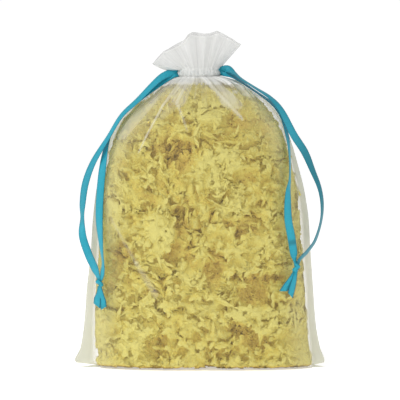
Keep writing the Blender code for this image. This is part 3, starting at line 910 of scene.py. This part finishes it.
def shred_tree(shapes):
    """Shreds on a torn surface: scattered where it shows, turned, tilted and warped at random, made real."""
    tree = bpy.data.node_groups.new("torn_shreds", "GeometryNodeTree")
    face = tree.interface
    face.new_socket("Geometry", in_out="INPUT", socket_type="NodeSocketGeometry")
    for name, value in SHRED_SIZES.items():
        face.new_socket(name, in_out="INPUT", socket_type="NodeSocketFloat").default_value = value
    face.new_socket("Seed", in_out="INPUT", socket_type="NodeSocketInt")
    face.new_socket("Material", in_out="INPUT", socket_type="NodeSocketMaterial")
    face.new_socket("Geometry", in_out="OUTPUT", socket_type="NodeSocketGeometry")
    given = add_node(tree, "NodeGroupInput")
    made = add_node(tree, "NodeGroupOutput")
    shown = add_node(tree, "GeometryNodeInputNamedAttribute", {"data_type": "FLOAT"}, Name="shown")
    scatter = add_node(
        tree, "GeometryNodeDistributePointsOnFaces", {"distribute_method": "POISSON"}, Density_Max=MOST_SHREDS
    )
    pick = add_node(
        tree, "GeometryNodeCollectionInfo", Collection=shapes, Separate_Children=True, Reset_Children=True
    )
    which = add_node(tree, "FunctionNodeRandomValue", {"data_type": "INT"})
    which.inputs["Min"].default_value = 0
    which.inputs["Max"].default_value = SHRED_SHAPES - 1
    size = add_node(tree, "FunctionNodeRandomValue", {"data_type": "FLOAT"})
    lean = add_node(tree, "FunctionNodeRandomValue", {"data_type": "FLOAT_VECTOR"})
    limits = add_node(tree, "ShaderNodeCombineXYZ", Z=math.pi)
    least = add_node(tree, "ShaderNodeVectorMath", {"operation": "SCALE"}, Scale=-1.0)
    turn = add_node(tree, "FunctionNodeEulerToRotation")
    turned = add_node(tree, "FunctionNodeRotateRotation", {"rotation_space": "LOCAL"})
    place = add_node(tree, "GeometryNodeInstanceOnPoints", Pick_Instance=True)
    tone = add_node(tree, "FunctionNodeRandomValue", {"data_type": "FLOAT"})
    mark = add_node(
        tree, "GeometryNodeStoreNamedAttribute", {"data_type": "FLOAT", "domain": "INSTANCE"}, Name="tone"
    )
    real = add_node(tree, "GeometryNodeRealizeInstances")
    noise = add_node(tree, "ShaderNodeTexNoise", Scale=110.0, Detail=3.0, Roughness=0.6)
    centred = add_node(tree, "ShaderNodeVectorMath", {"operation": "SUBTRACT"})
    centred.inputs[1].default_value = (0.5, 0.5, 0.5)
    scaled = add_node(tree, "ShaderNodeVectorMath", {"operation": "SCALE"})
    warp = add_node(tree, "GeometryNodeSetPosition")
    both = add_node(tree, "GeometryNodeJoinGeometry")
    dressed = add_node(tree, "GeometryNodeSetMaterial")
    wire(
        tree,
        (given, "Geometry", scatter, "Mesh"),
        (given, "Spacing", scatter, "Distance Min"),
        (shown, "Attribute", scatter, "Density Factor"),
        (given, "Seed", scatter, "Seed"),
        (given, "Smallest", size, "Min"),
        (given, "Largest", size, "Max"),
        (given, "Tilt", limits, "X"),
        (given, "Tilt", limits, "Y"),
        (limits, "Vector", least, 0),
        (least, "Vector", lean, "Min"),
        (limits, "Vector", lean, "Max"),
        (lean, "Value", turn, "Euler"),
        (scatter, "Rotation", turned, "Rotation"),
        (turn, "Rotation", turned, "Rotate By"),
        (scatter, "Points", place, "Points"),
        (pick, "Instances", place, "Instance"),
        (which, "Value", place, "Instance Index"),
        (turned, "Rotation", place, "Rotation"),
        (size, "Value", place, "Scale"),
        (place, "Instances", mark, "Geometry"),
        (tone, "Value", mark, "Value"),
        (mark, "Geometry", real, "Geometry"),
        (noise, "Color", centred, 0),
        (centred, "Vector", scaled, 0),
        (given, "Warp", scaled, "Scale"),
        (real, "Geometry", warp, "Geometry"),
        (scaled, "Vector", warp, "Offset"),
        (warp, "Geometry", both, "Geometry"),
        (given, "Geometry", both, "Geometry"),
        (both, "Geometry", dressed, "Geometry"),
        (given, "Material", dressed, "Material"),
        (dressed, "Geometry", made, "Geometry"),
    )
    return tree


def set_input(modifier, name, value):
    """Give a Geometry Nodes modifier's input by its socket's identifier."""
    for item in modifier.node_group.interface.items_tree:
        if item.item_type == "SOCKET" and item.in_out == "INPUT" and item.name == name:
            modifier[item.identifier] = value


def pressed_to_cloth(places, slack):
    """Places in mm moved in wherever they are nearer to the cloth than their own slack."""
    step = 0.5 * np.eye(3)
    for _ in range(8):
        depth = read_grid(cloth_depth, space_axes, places)
        ahead = [read_grid(cloth_depth, space_axes, places + way) for way in step]
        slope = np.stack(ahead, axis=-1) - depth[:, None]
        move = np.maximum(slack - depth, 0.0)
        places = places + unit(slope) * move[:, None]
    return places


def sponge_material():
    """Yellow fibre, mottled and each shred of its own tone, with painted light: a painted glow, a painted
    highlight at the shreds' rims, and painted shade, darker and golden, in the hollows, the pores and at the
    bottom.
    """
    sponge, tree, shader = finish_of(
        "yellow_sponge",
        Roughness=0.9,
        Specular_IOR_Level=0.1,
        Emission_Color=(0.55, 0.40, 0.06, 1.0),
        Emission_Strength=SPONGE_PAINTED_GLOW,
    )
    deep, tone, rim = (
        add_node(tree, "ShaderNodeAttribute", {"attribute_name": name}) for name in ("painted_sponge_shade", "tone", "rim")
    )
    where = add_node(tree, "ShaderNodeTexCoord")
    patches = add_node(tree, "ShaderNodeTexNoise", Scale=55.0, Detail=2.0)
    grain = add_node(tree, "ShaderNodeTexNoise", Scale=620.0, Detail=3.0, Roughness=0.65)
    cells = add_node(tree, "ShaderNodeTexVoronoi", Scale=330.0)
    folds = add_node(tree, "ShaderNodeTexNoise", Scale=380.0, Detail=4.0, Roughness=0.65, Distortion=1.2)
    for texture in (patches, grain, cells, folds):
        wire(tree, (where, "Object", texture, "Vector"))
    # Painted shade in the pores: dark dots at the middles of small cells.
    pores = add_node(tree, "ShaderNodeMapRange", From_Min=0.10, From_Max=0.26, To_Min=1.0, To_Max=0.0)
    wire(tree, (cells, "Distance", pores, "Value"))
    total = (deep, "Fac")
    for source, share, middle in (
        ((patches, "Fac"), 0.65, 0.5),
        ((grain, "Fac"), 1.0, 0.5),
        ((tone, "Fac"), 0.2, 0.4),
        # A painted highlight: a shred's rim is painted paler.
        ((rim, "Fac"), -0.32, 0.45),
        ((pores, "Result"), 0.4, 0.1),
    ):
        centred = add_node(tree, "ShaderNodeMath", {"operation": "SUBTRACT"})
        centred.inputs[1].default_value = middle
        added = add_node(tree, "ShaderNodeMath", {"operation": "MULTIPLY_ADD"})
        added.inputs[1].default_value = share
        wire(tree, (*source, centred, 0), (centred, 0, added, 0), (*total, added, 2))
        total = (added, 0)
    # The ramp runs from the pale sponge to a dark golden colour; its darker stops are painted shade in the
    # hollows and the painted contact shadow at the bottom.
    ramp = colour_ramp(
        tree,
        (0.0, (0.79, 0.71, 0.215)),
        (0.3, (0.77, 0.655, 0.15)),
        (0.6, (0.73, 0.555, 0.125)),
        (0.85, (0.57, 0.39, 0.09)),
        (1.0, (0.24, 0.16, 0.05)),
    )
    bump = add_node(tree, "ShaderNodeBump", Strength=0.85, Distance=1.9 * MM)
    wire(
        tree,
        (*total, ramp, "Fac"),
        (ramp, "Color", shader, "Base Color"),
        (folds, "Fac", bump, "Height"),
        (bump, "Normal", shader, "Normal"),
    )
    return sponge


def without_strays(mesh, places):
    """Take out the few vertices that still lie in the cloth, and give the places of those that are left."""
    stray = np.nonzero(read_grid(cloth_depth, space_axes, places) < CLOTH_CLEARANCE * 0.5)[0]
    if not len(stray):
        return places
    trimmed = bmesh.new()
    trimmed.from_mesh(mesh)
    trimmed.verts.ensure_lookup_table()
    bmesh.ops.delete(trimmed, geom=[trimmed.verts[index] for index in stray], context="VERTS")
    trimmed.to_mesh(mesh)
    trimmed.free()
    return np.delete(places, stray, axis=0)


def painted_shade_of(places):
    """How much painted shade the sponge gets at places, as darker colour: more the deeper they lie, in the
    clumps' hollows, and most close to the ground, a painted contact shadow.
    """
    depth = read_grid(cloth_depth, space_axes, places)
    # Painted contact shadow: the lowest 4 mm of sponge are painted darkest.
    ground = np.clip(2.0 - places[:, 2] / 2.0, 0.0, 2.0)
    return np.clip((depth - 3.0) / 15.0 + 0.35 * clumps_at(places)[1] + ground, -0.4, 2.0)


def torn_sponge(name, number):
    """One piece with its shreds, pressed to the cloth."""
    field, low = torn_piece(name, number)
    places, quads = surface_net(field, low, SPONGE_STEP)
    mesh = mesh_from(name, places * MM, quads)
    depth = read_grid(cloth_depth, space_axes, places)
    mark_places(mesh, "shown", smooth_step(SHRED_DEPTH, SHRED_DEPTH - 2.0, depth))
    piece = add_piece(name + "_torn", mesh, sponge_stuff)
    scatter = piece.modifiers.new("shreds", "NODES")
    scatter.node_group = shreds
    set_input(scatter, "Seed", number)
    set_input(scatter, "Material", sponge_stuff)
    made = make_plain(piece).data
    places = np.empty(len(made.vertices) * 3)
    made.vertices.foreach_get("co", places)
    places = places.reshape(-1, 3) / MM
    tone = np.zeros(len(places), np.float32)
    if "tone" in made.attributes:
        made.attributes["tone"].data.foreach_get("value", tone)
    low_down, facing = near_edges(places)
    places = pressed_to_cloth(places, CLOTH_CLEARANCE + PRESSED_DEPTH * tone * low_down * facing)
    made.vertices.foreach_set("co", (places * MM).ravel())
    # The sponge's painted shade, from its depth, its clumps and the bottom.
    mark_places(made, "painted_sponge_shade", painted_shade_of(without_strays(made, places)))
    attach(piece, "root")
    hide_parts(name)


bag_wall = cad_tree("organza_bag")
sections = bag_sections()
space_axes, cloth_depth, claims, lumps = shared_space()
sponge_stuff = sponge_material()
shapes = bpy.data.collections.new("shred_shapes")
shred_chance = np.random.default_rng(77)
for number in range(SHRED_SHAPES):
    shapes.objects.link(shred_shape(shred_chance, number))
shreds = shred_tree(shapes)
for number, name in enumerate(PIECE_NAMES):
    torn_sponge(name, number)
for shape in list(shapes.objects):
    bpy.data.objects.remove(shape)
bpy.data.collections.remove(shapes)

# The organza bag: one sheet of sheer white polyester organza, folded once at the bottom, sewn up both sides
# and turned down at the top into a double header with the ribbons' channel. Tying it gathers the neck.
CLOTH_ROUND = 400.0
BAG_COLUMNS = 440
FIN_COLUMNS = 5
ROW_HEIGHT = 1.7
BASE_ROWS = 10
FRILL_ROWS = 26
FRILL_SAG = 2.4
NECK_TOP = 237.0
CHANNEL_ROWS = 8
RIM_CREASE = 275.0
CHANNEL_MIDDLE = 234.0
SIDE_LAYERS = 2.6
SIDE_START = 0.965
SIDE_HAZE = 1.0
HAZE_SPAN = (0.66, 0.92)
# A painted reflection: below the neck the cloth is tinted yellow, as light bounced off the sponge would tint
# it.
PAINTED_BOUNCE_ENDS = 228.0
PAINTED_BOUNCE_FULL = 205.0
PAINTED_SPONGE_BOUNCE = (0.98, 0.97, 0.83, 1.0)
SHOULDER_HAZE = 1.3
SHOULDER_SPAN = (160.0, 205.0)
RIGHT_SHOULDER = 0.55
BODY_COVER = 0.82
HEM_LAYERS = (0.0, 0.25, 0.5)
CHANNEL_LAYERS = 0.5
LINING_LAYERS = 0.5
NECK_PLEATS = 32
NECK_PULL_ACROSS = 0.10
NECK_PULL_DEEP = 0.72
CHANNEL_BULGE = 1.7
SHOULDER_START = 150.0
HEADER_START = 226.0
HEADER_LAYERS = 2.6
FIN_LAYERS = 8.0
LAYER_SHOWS_THROUGH = 0.87
CREASE_SHARE = 0.28
CREASE_START = 201.0
WING_LAYERS = 4.2
WING_SPAN = (45.0, 12.0)
PLEATS = 38
PLEAT_HEIGHT = 1.5
PLEAT_SPREAD = 26.0
SHORTEST_PLEAT = 14.0
FRILL_PLEATS = 13
FRILL_PLEAT_HEIGHT = 1.3
RIM_HALF_DEPTH = 15.0
RIM_OUTLINE = (
    (-38.0, 241.0),
    (-29.0, 251.0),
    (-12.7, 260.0),
    (-9.5, 264.5),
    (-6.0, 266.2),
    (3.0, 265.0),
    (8.0, 265.5),
    (13.5, 267.2),
    (21.4, 263.5),
    (32.6, 256.5),
)

# Folds of the cloth's front that lie doubled over, from the neck outwards: both ends' x and height and both
# widths in mm, how many layers the fold adds and how far it stands up
# The layers that a fold adds also whiten the cloth along it: partly real doubled cloth and partly a painted
# highlight.
FRONT_FOLDS = (
    (3.0, 230.0, 33.0, 198.5, 2.0, 1.6, 3.2, 0.8),
    (8.0, 231.0, 30.0, 209.0, 3.0, 7.0, 1.5, 0.3),
    (10.0, 231.5, 47.0, 215.0, 2.2, 1.2, 3.0, 0.6),
    (26.0, 219.0, 46.0, 215.0, 1.0, 1.0, 2.4, 0.5),
    (-8.0, 230.0, -18.0, 211.0, 2.0, 1.6, 2.6, 0.6),
    (-18.0, 211.0, -10.0, 190.0, 1.6, 1.0, 3.0, 0.6),
    (-12.0, 229.0, -29.0, 209.0, 3.0, 1.6, 2.2, 0.6),
    (-29.0, 209.0, -42.0, 185.0, 1.6, 1.2, 3.0, 0.7),
    (-42.0, 185.0, -48.0, 172.0, 1.4, 0.8, 2.6, 0.7),
    (-70.0, 120.0, -50.0, 86.0, 1.2, 3.0, 1.2, 0.3),
    (-50.0, 86.0, -35.0, 61.0, 3.0, 5.0, 1.4, 0.3),
    (-34.0, 214.0, -62.0, 186.0, 3.0, 9.0, 1.0, 0.2),
    (4.0, 231.0, 22.0, 213.0, 4.0, 12.0, 1.1, 0.4),
    (22.0, 213.0, 33.0, 199.0, 12.0, 1.0, 0.9, 0.4),
    (-6.0, 231.0, -16.0, 214.0, 5.0, 12.0, 1.0, 0.3),
    (-16.0, 214.0, -30.0, 200.0, 10.0, 4.0, 0.8, 0.3),
    (12.0, 232.0, 40.0, 218.0, 3.0, 7.0, 1.0, 0.4),
    (-2.0, 231.0, -4.0, 214.0, 1.2, 0.6, 1.0, 0.5),
    (1.0, 231.0, 2.0, 213.0, 1.2, 0.6, 1.0, 0.5),
    (-5.0, 231.0, -14.0, 217.0, 1.4, 0.8, 1.0, 0.5),
)


def squared(value):
    """A cosine or sine that makes an oval as square as the filled bag."""
    return np.sign(value) * np.abs(value) ** (2.0 / SQUARENESS)


def ring_angles():
    """Angles of a ring's columns: from the right seam round the back to the left one and on round the front.

    The first and last columns of each half run out into the seam's fin and have the same angle."""
    half = BAG_COLUMNS // 2 - FIN_COLUMNS * 2
    back = np.linspace(0.0, math.pi, half + 2)[1:-1]
    fin = np.zeros(FIN_COLUMNS)
    angles = np.concatenate([fin + back[0], back, fin + back[-1]])
    angles = np.concatenate([angles, angles + math.pi])
    share = np.linspace(1.0, 1.0 / FIN_COLUMNS, FIN_COLUMNS)
    none = np.zeros(half)
    out = np.concatenate([share, none, share[::-1], share, none, share[::-1]])
    return angles, out


def body_rings(sections, heights):
    """The filled part of the bag: rings of an oval that run out at both sides into a thin fin."""
    left, right, depth, body_left, body_right = smooth_columns(sections, heights).T
    angles, fin = ring_angles()
    middle = ((body_left + body_right) / 2.0)[:, None]
    half_width = ((body_right - body_left) / 2.0)[:, None]
    cosine, sine = np.cos(angles)[None, :], np.sin(angles)[None, :]
    x = middle + half_width * squared(cosine)
    y = depth[:, None] * squared(sine)
    edge = np.where(cosine > 0.0, right[:, None], left[:, None])
    x = x + (edge - x) * fin
    y = y * (1.0 - 0.9 * fin)
    z = np.repeat(heights[:, None], x.shape[1], axis=1)
    return np.stack([x, y, z], axis=-1)


def ring_lengths(rings):
    closed = np.concatenate([rings, rings[:, :1]], axis=1)
    return np.linalg.norm(np.diff(closed, axis=1), axis=2).sum(axis=1)


def pleats(chance, angles, heights):
    """Height of the pleats that run down from the neck, each to its own length."""
    push = np.zeros((len(heights), len(angles)))
    for number in range(PLEATS):
        middle = 2.0 * math.pi * (number + chance.uniform(-0.35, 0.35)) / PLEATS
        width = 2.0 * math.pi / PLEATS * chance.uniform(0.22, 0.42)
        end = NECK_BOTTOM - abs(chance.normal(0.0, PLEAT_SPREAD)) - SHORTEST_PLEAT
        away = (angles - middle + math.pi) % (2.0 * math.pi) - math.pi
        ridge = np.exp(-((away / width) ** 2))
        share = smooth_step(end, NECK_BOTTOM - 6.0, heights)
        push += share[:, None] * ridge[None, :] * chance.uniform(0.5, 1.2)
    return push


def fold_marks(places, folds):
    """Layers and height that doubled-over folds add at each place of the front."""
    layers = np.zeros(places.shape[:-1])
    raised = np.zeros(places.shape[:-1])
    front = places[..., 1] < 0.0
    flat = places[..., [0, 2]]
    for x0, z0, x1, z1, wide0, wide1, extra, up in folds:
        start, end = np.array([x0, z0]), np.array([x1, z1])
        along = end - start
        share = np.clip(((flat - start) @ along) / (along @ along), 0.0, 1.0)
        distance = np.linalg.norm(flat - start - share[..., None] * along, axis=-1)
        half = (wide0 + (wide1 - wide0) * share) / 2.0
        layers += front * extra * smooth_step(half + 0.5, half - 0.3, distance)
        raised += front * up * smooth_step(half + 1.2, 0.0, distance)
    return layers, raised


def outward_normals(rings):
    around = np.roll(rings, -1, axis=1) - np.roll(rings, 1, axis=1)
    up = np.gradient(rings, axis=0)
    return unit(np.cross(around, up))


def drawn_in(rings, share):
    """Rings with their pleats drawn in towards the middle of the neck."""
    pull = np.stack([NECK_PULL_ACROSS * share, NECK_PULL_DEEP * share, 0.0 * share], axis=-1)
    return rings * (1.0 - pull)


def frill_rim(chance):
    """The rim of the header above the neck, fanned out and pleated as the outline says."""
    outline = np.array(RIM_OUTLINE)
    angles, _ = ring_angles()
    middle = (outline[0, 0] + outline[-1, 0]) / 2.0
    half_width = (outline[-1, 0] - outline[0, 0]) / 2.0
    phase = np.zeros(len(angles))
    for number in range(1, 5):
        phase += chance.uniform(0.2, 0.5) * np.sin(number * angles + chance.uniform(0.0, 6.28))
    wave = np.sin(FRILL_PLEATS * angles + phase * 3.0)
    finer = np.sin(FRILL_PLEATS * 2.0 * angles + phase * 5.0)
    x = middle + half_width * np.cos(angles)
    y = (RIM_HALF_DEPTH - FRILL_PLEAT_HEIGHT + FRILL_PLEAT_HEIGHT * wave + 0.2 * finer) * np.sin(angles)
    z = np.interp(x, outline[:, 0], outline[:, 1]) + 0.15 * wave
    z = z - np.where(np.sin(angles) < 0.0, 2.0 * np.abs(np.sin(angles)), 0.0)
    return np.stack([x, y, z], axis=-1)


def frill_rings(neck, rim):
    """Rings from the neck up to the rim; the left end of the frill sags a little on its way out."""
    shares = np.linspace(0.0, 1.0, FRILL_ROWS + 1)[1:, None]
    rings = neck[None] + (rim - neck)[None] * shares[..., None]
    leftmost = smooth_step(0.55, 1.0, -np.cos(ring_angles()[0]))
    rings[..., 2] -= FRILL_SAG * np.sin(math.pi * shares) * leftmost
    return rings


def organza_material():
    """Sheer cloth: many layers together are whiter and close it, and a painted reflection of the yellow
    sponge tints the filled part.
    """
    organza, tree, shader = finish_of("white_organza", Roughness=0.45, Specular_IOR_Level=0.35)
    layers = add_node(tree, "ShaderNodeAttribute", {"attribute_name": "layers"})
    see_through = add_node(tree, "ShaderNodeMath", {"operation": "POWER"})
    see_through.inputs[0].default_value = LAYER_SHOWS_THROUGH
    cover = add_node(tree, "ShaderNodeMath", {"operation": "SUBTRACT"})
    cover.inputs[0].default_value = 1.0
    whiter = colour_ramp(
        tree, (0.12, (0.45, 0.44, 0.37)), (0.4, (0.80, 0.80, 0.79)), (0.85, (0.73, 0.735, 0.71))
    )
    place = add_node(tree, "ShaderNodeTexCoord")
    apart = add_node(tree, "ShaderNodeSeparateXYZ")
    filled = add_node(tree, "ShaderNodeMapRange", From_Min=PAINTED_BOUNCE_ENDS * MM, From_Max=PAINTED_BOUNCE_FULL * MM)
    bounce_tinted = add_node(tree, "ShaderNodeMixRGB", {"blend_type": "MULTIPLY"}, Color2=PAINTED_SPONGE_BOUNCE)
    wire(
        tree,
        (layers, "Fac", see_through, 1),
        (see_through, 0, cover, 1),
        (cover, 0, shader, "Alpha"),
        (cover, 0, whiter, "Fac"),
        (place, "Object", apart, "Vector"),
        (apart, "Z", filled, "Value"),
        (filled, "Result", bounce_tinted, "Fac"),
        (whiter, "Color", bounce_tinted, "Color1"),
        (bounce_tinted, "Color", shader, "Base Color"),
    )
    return organza


def body_layers(angles, fin, heights, gathered):
    """How many layers of cloth lie together on the filled part: more at its seams, sides and shoulders."""
    sideways = np.abs(np.cos(angles))
    filled = 1.0 - fin
    layers = BODY_COVER * gathered[:, None] + (FIN_LAYERS - 1.0) * smooth_step(0.0, 0.3, fin)[None, :]
    layers += WING_LAYERS * smooth_step(0.0, 0.2, fin)[None, :] * smooth_step(*WING_SPAN, heights)[:, None]
    layers += SIDE_LAYERS * (smooth_step(SIDE_START, 1.0, sideways) * filled)[None, :]
    layers += SIDE_HAZE * (smooth_step(*HAZE_SPAN, sideways) * filled)[None, :]
    hazy = smooth_step(0.3, 0.85, sideways) * np.where(np.cos(angles) < 0.0, 1.0, RIGHT_SHOULDER) * filled
    return layers + SHOULDER_HAZE * hazy[None, :] * smooth_step(*SHOULDER_SPAN, heights)[:, None]


def gathered_neck(rings, normals, angles):
    """The channel's outer cloth, puffed out over the ribbons, and the lining drawn in by its pleats."""
    neck = np.repeat(rings[-1:], CHANNEL_ROWS, axis=0)
    share = np.linspace(0.0, 1.0, CHANNEL_ROWS + 1)[1:, None]
    uneven = 0.5 * np.sin(5.0 * angles) + 0.4 * np.sin(17.0 * angles + 1.0) + 0.3 * np.sin(29.0 * angles)
    neck[..., 2] = NECK_BOTTOM + (NECK_TOP - NECK_BOTTOM) * share
    neck[..., 2] += uneven[None] * smooth_step(0.0, 0.4, share)
    pleated = (0.5 - 0.5 * np.cos(NECK_PLEATS * angles)) ** 1.5
    inner = drawn_in(neck, pleated[None] * np.ones((CHANNEL_ROWS, 1)))
    away = unit(normals[-1] * np.array([1.0, 1.0, 0.0]))
    ruffle = 0.14 * np.sin(27.0 * angles + 2.0 * np.sin(3.0 * angles)) + 0.1 * np.sin(41.0 * angles + 1.0)
    puffed = CHANNEL_BULGE * np.sin(math.pi * np.clip(share, 0.0, 0.92)) * (1.0 + ruffle)
    return neck + away[None] * puffed[..., None], inner


def header_layers(layers, rings, threads):
    """The same layers, with more in the header, its channel and its hem, and uneven where gathered."""
    heights = rings[..., 2]
    layers = layers * np.where(heights > HEADER_START, HEADER_LAYERS, 1.0)
    creased = smooth_step(CREASE_START, NECK_BOTTOM, heights)
    creased = creased * smooth_step(RIM_CREASE, NECK_TOP, heights)
    layers = layers * (1.0 + CREASE_SHARE * threads * creased)
    layers = layers * (1.0 + CHANNEL_LAYERS * smooth_step(5.0, 3.0, np.abs(heights - CHANNEL_MIDDLE)))
    for row, extra in enumerate(HEM_LAYERS):
        layers[row - len(HEM_LAYERS)] *= 1.0 + extra
    return layers


def organza_bag():
    """The whole cloth: base, filled part, neck and frill as one skin, and the header's lining inside it."""
    chance = np.random.default_rng(11)
    heights = np.linspace(0.0, NECK_BOTTOM, int(NECK_BOTTOM / ROW_HEIGHT))
    rings = body_rings(sections, heights)
    angles, fin = ring_angles()
    gathered = CLOTH_ROUND / np.minimum(ring_lengths(rings), CLOTH_ROUND)
    normals = outward_normals(rings)
    swell = smooth_step(SHOULDER_START, 215.0, heights) * smooth_step(NECK_BOTTOM + 14.0, 215.0, heights)
    push = pleats(chance, angles, heights) * (1.0 - fin) * (PLEAT_HEIGHT * swell)[:, None]
    folded, raised = fold_marks(rings, FRONT_FOLDS)
    rings = rings + normals * (push + raised)[..., None]
    layers = folded + body_layers(angles, fin, heights, gathered)
    neck, inner = gathered_neck(rings, normals, angles)
    rim = frill_rim(chance)
    lining = np.concatenate([inner, frill_rings(inner[-1], rim)])
    upper = np.concatenate([neck, frill_rings(neck[-1], rim)])
    base = np.repeat(rings[:1], BASE_ROWS, axis=0)
    base[..., 1] *= np.linspace(0.0, 1.0, BASE_ROWS + 1)[:-1, None]
    spread = CLOTH_ROUND / np.minimum(ring_lengths(upper), CLOTH_ROUND)
    layers = np.concatenate([
        np.repeat(layers[:1], BASE_ROWS, axis=0),
        layers,
        np.repeat(spread[:, None], BAG_COLUMNS, axis=1),
    ])
    rings = np.concatenate([base, rings, upper])
    threads = np.repeat(chance.uniform(-1.0, 1.0, BAG_COLUMNS)[None], len(rings), axis=0)
    layers = header_layers(layers, rings, threads)
    skin = grid_faces(len(rings), BAG_COLUMNS, closed=True)
    inside = grid_faces(len(lining), BAG_COLUMNS, closed=True) + len(rings) * BAG_COLUMNS
    places = np.concatenate([rings, lining]).reshape(-1, 3) * MM
    mesh = mesh_from("organza_bag", places, np.concatenate([skin, inside]))
    mark_places(mesh, "layers", np.concatenate([layers, layers[-len(lining):] * LINING_LAYERS]))
    return add_piece("organza_bag_cloth", mesh, organza_material())


cloth = organza_bag()
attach(cloth, "root")
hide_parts("organza_bag")

# The ribbons inside the channel: between its two mouths each ribbon runs once round the neck, crumpled by the
# gathers, and shows only as a trace of blue through the cloth.
LOOP_HEIGHTS = {"ribbon_left_loop": 232.8, "ribbon_right_loop": 234.8}
LOOP_STATIONS = 120
LOOP_SIDES = 8
LOOP_RADIUS = 0.55
LOOP_OUT = 0.45


def crumpled_loop(name, height):
    """The hidden run of one ribbon round the neck: a crumpled roll of satin."""
    chance = np.random.default_rng(int(height))
    _, _, depth, left, right = smooth_columns(sections, np.array([NECK_BOTTOM]))[0]
    turns = np.linspace(0.0, 2.0 * math.pi, LOOP_STATIONS, endpoint=False)
    middle = np.stack([
        (left + right) / 2.0 + ((right - left) / 2.0 + LOOP_OUT) * squared(np.cos(turns)),
        (depth + LOOP_OUT) * squared(np.sin(turns)),
        np.full(LOOP_STATIONS, height),
    ], axis=1)
    out = unit(np.stack([np.cos(turns) * depth, np.sin(turns) * (right - left) / 2.0, 0.0 * turns], axis=1))
    sides = np.linspace(0.0, 2.0 * math.pi, LOOP_SIDES, endpoint=False)
    rumple = LOOP_RADIUS * (0.85 + chance.uniform(-0.22, 0.15, (LOOP_STATIONS, LOOP_SIDES)))
    upward = np.array([0.0, 0.0, 1.0])
    grid = middle[:, None] + (rumple * np.cos(sides))[..., None] * out[:, None]
    grid = grid + (rumple * np.sin(sides))[..., None] * upward
    grid = np.concatenate([grid, grid[:1]])
    mesh = mesh_from(name, grid.reshape(-1, 3) * MM, grid_faces(LOOP_STATIONS + 1, LOOP_SIDES, closed=True))
    along = np.repeat(np.linspace(0.0, 18.0, LOOP_STATIONS + 1), LOOP_SIDES)
    add_strip_map(mesh, along, np.tile(np.linspace(0.1, 0.9, LOOP_SIDES), LOOP_STATIONS + 1))
    loop = add_piece(name + "_satin", mesh, satin)
    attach(loop, "root")
    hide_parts(name)


for name, height in LOOP_HEIGHTS.items():
    crumpled_loop(name, height)
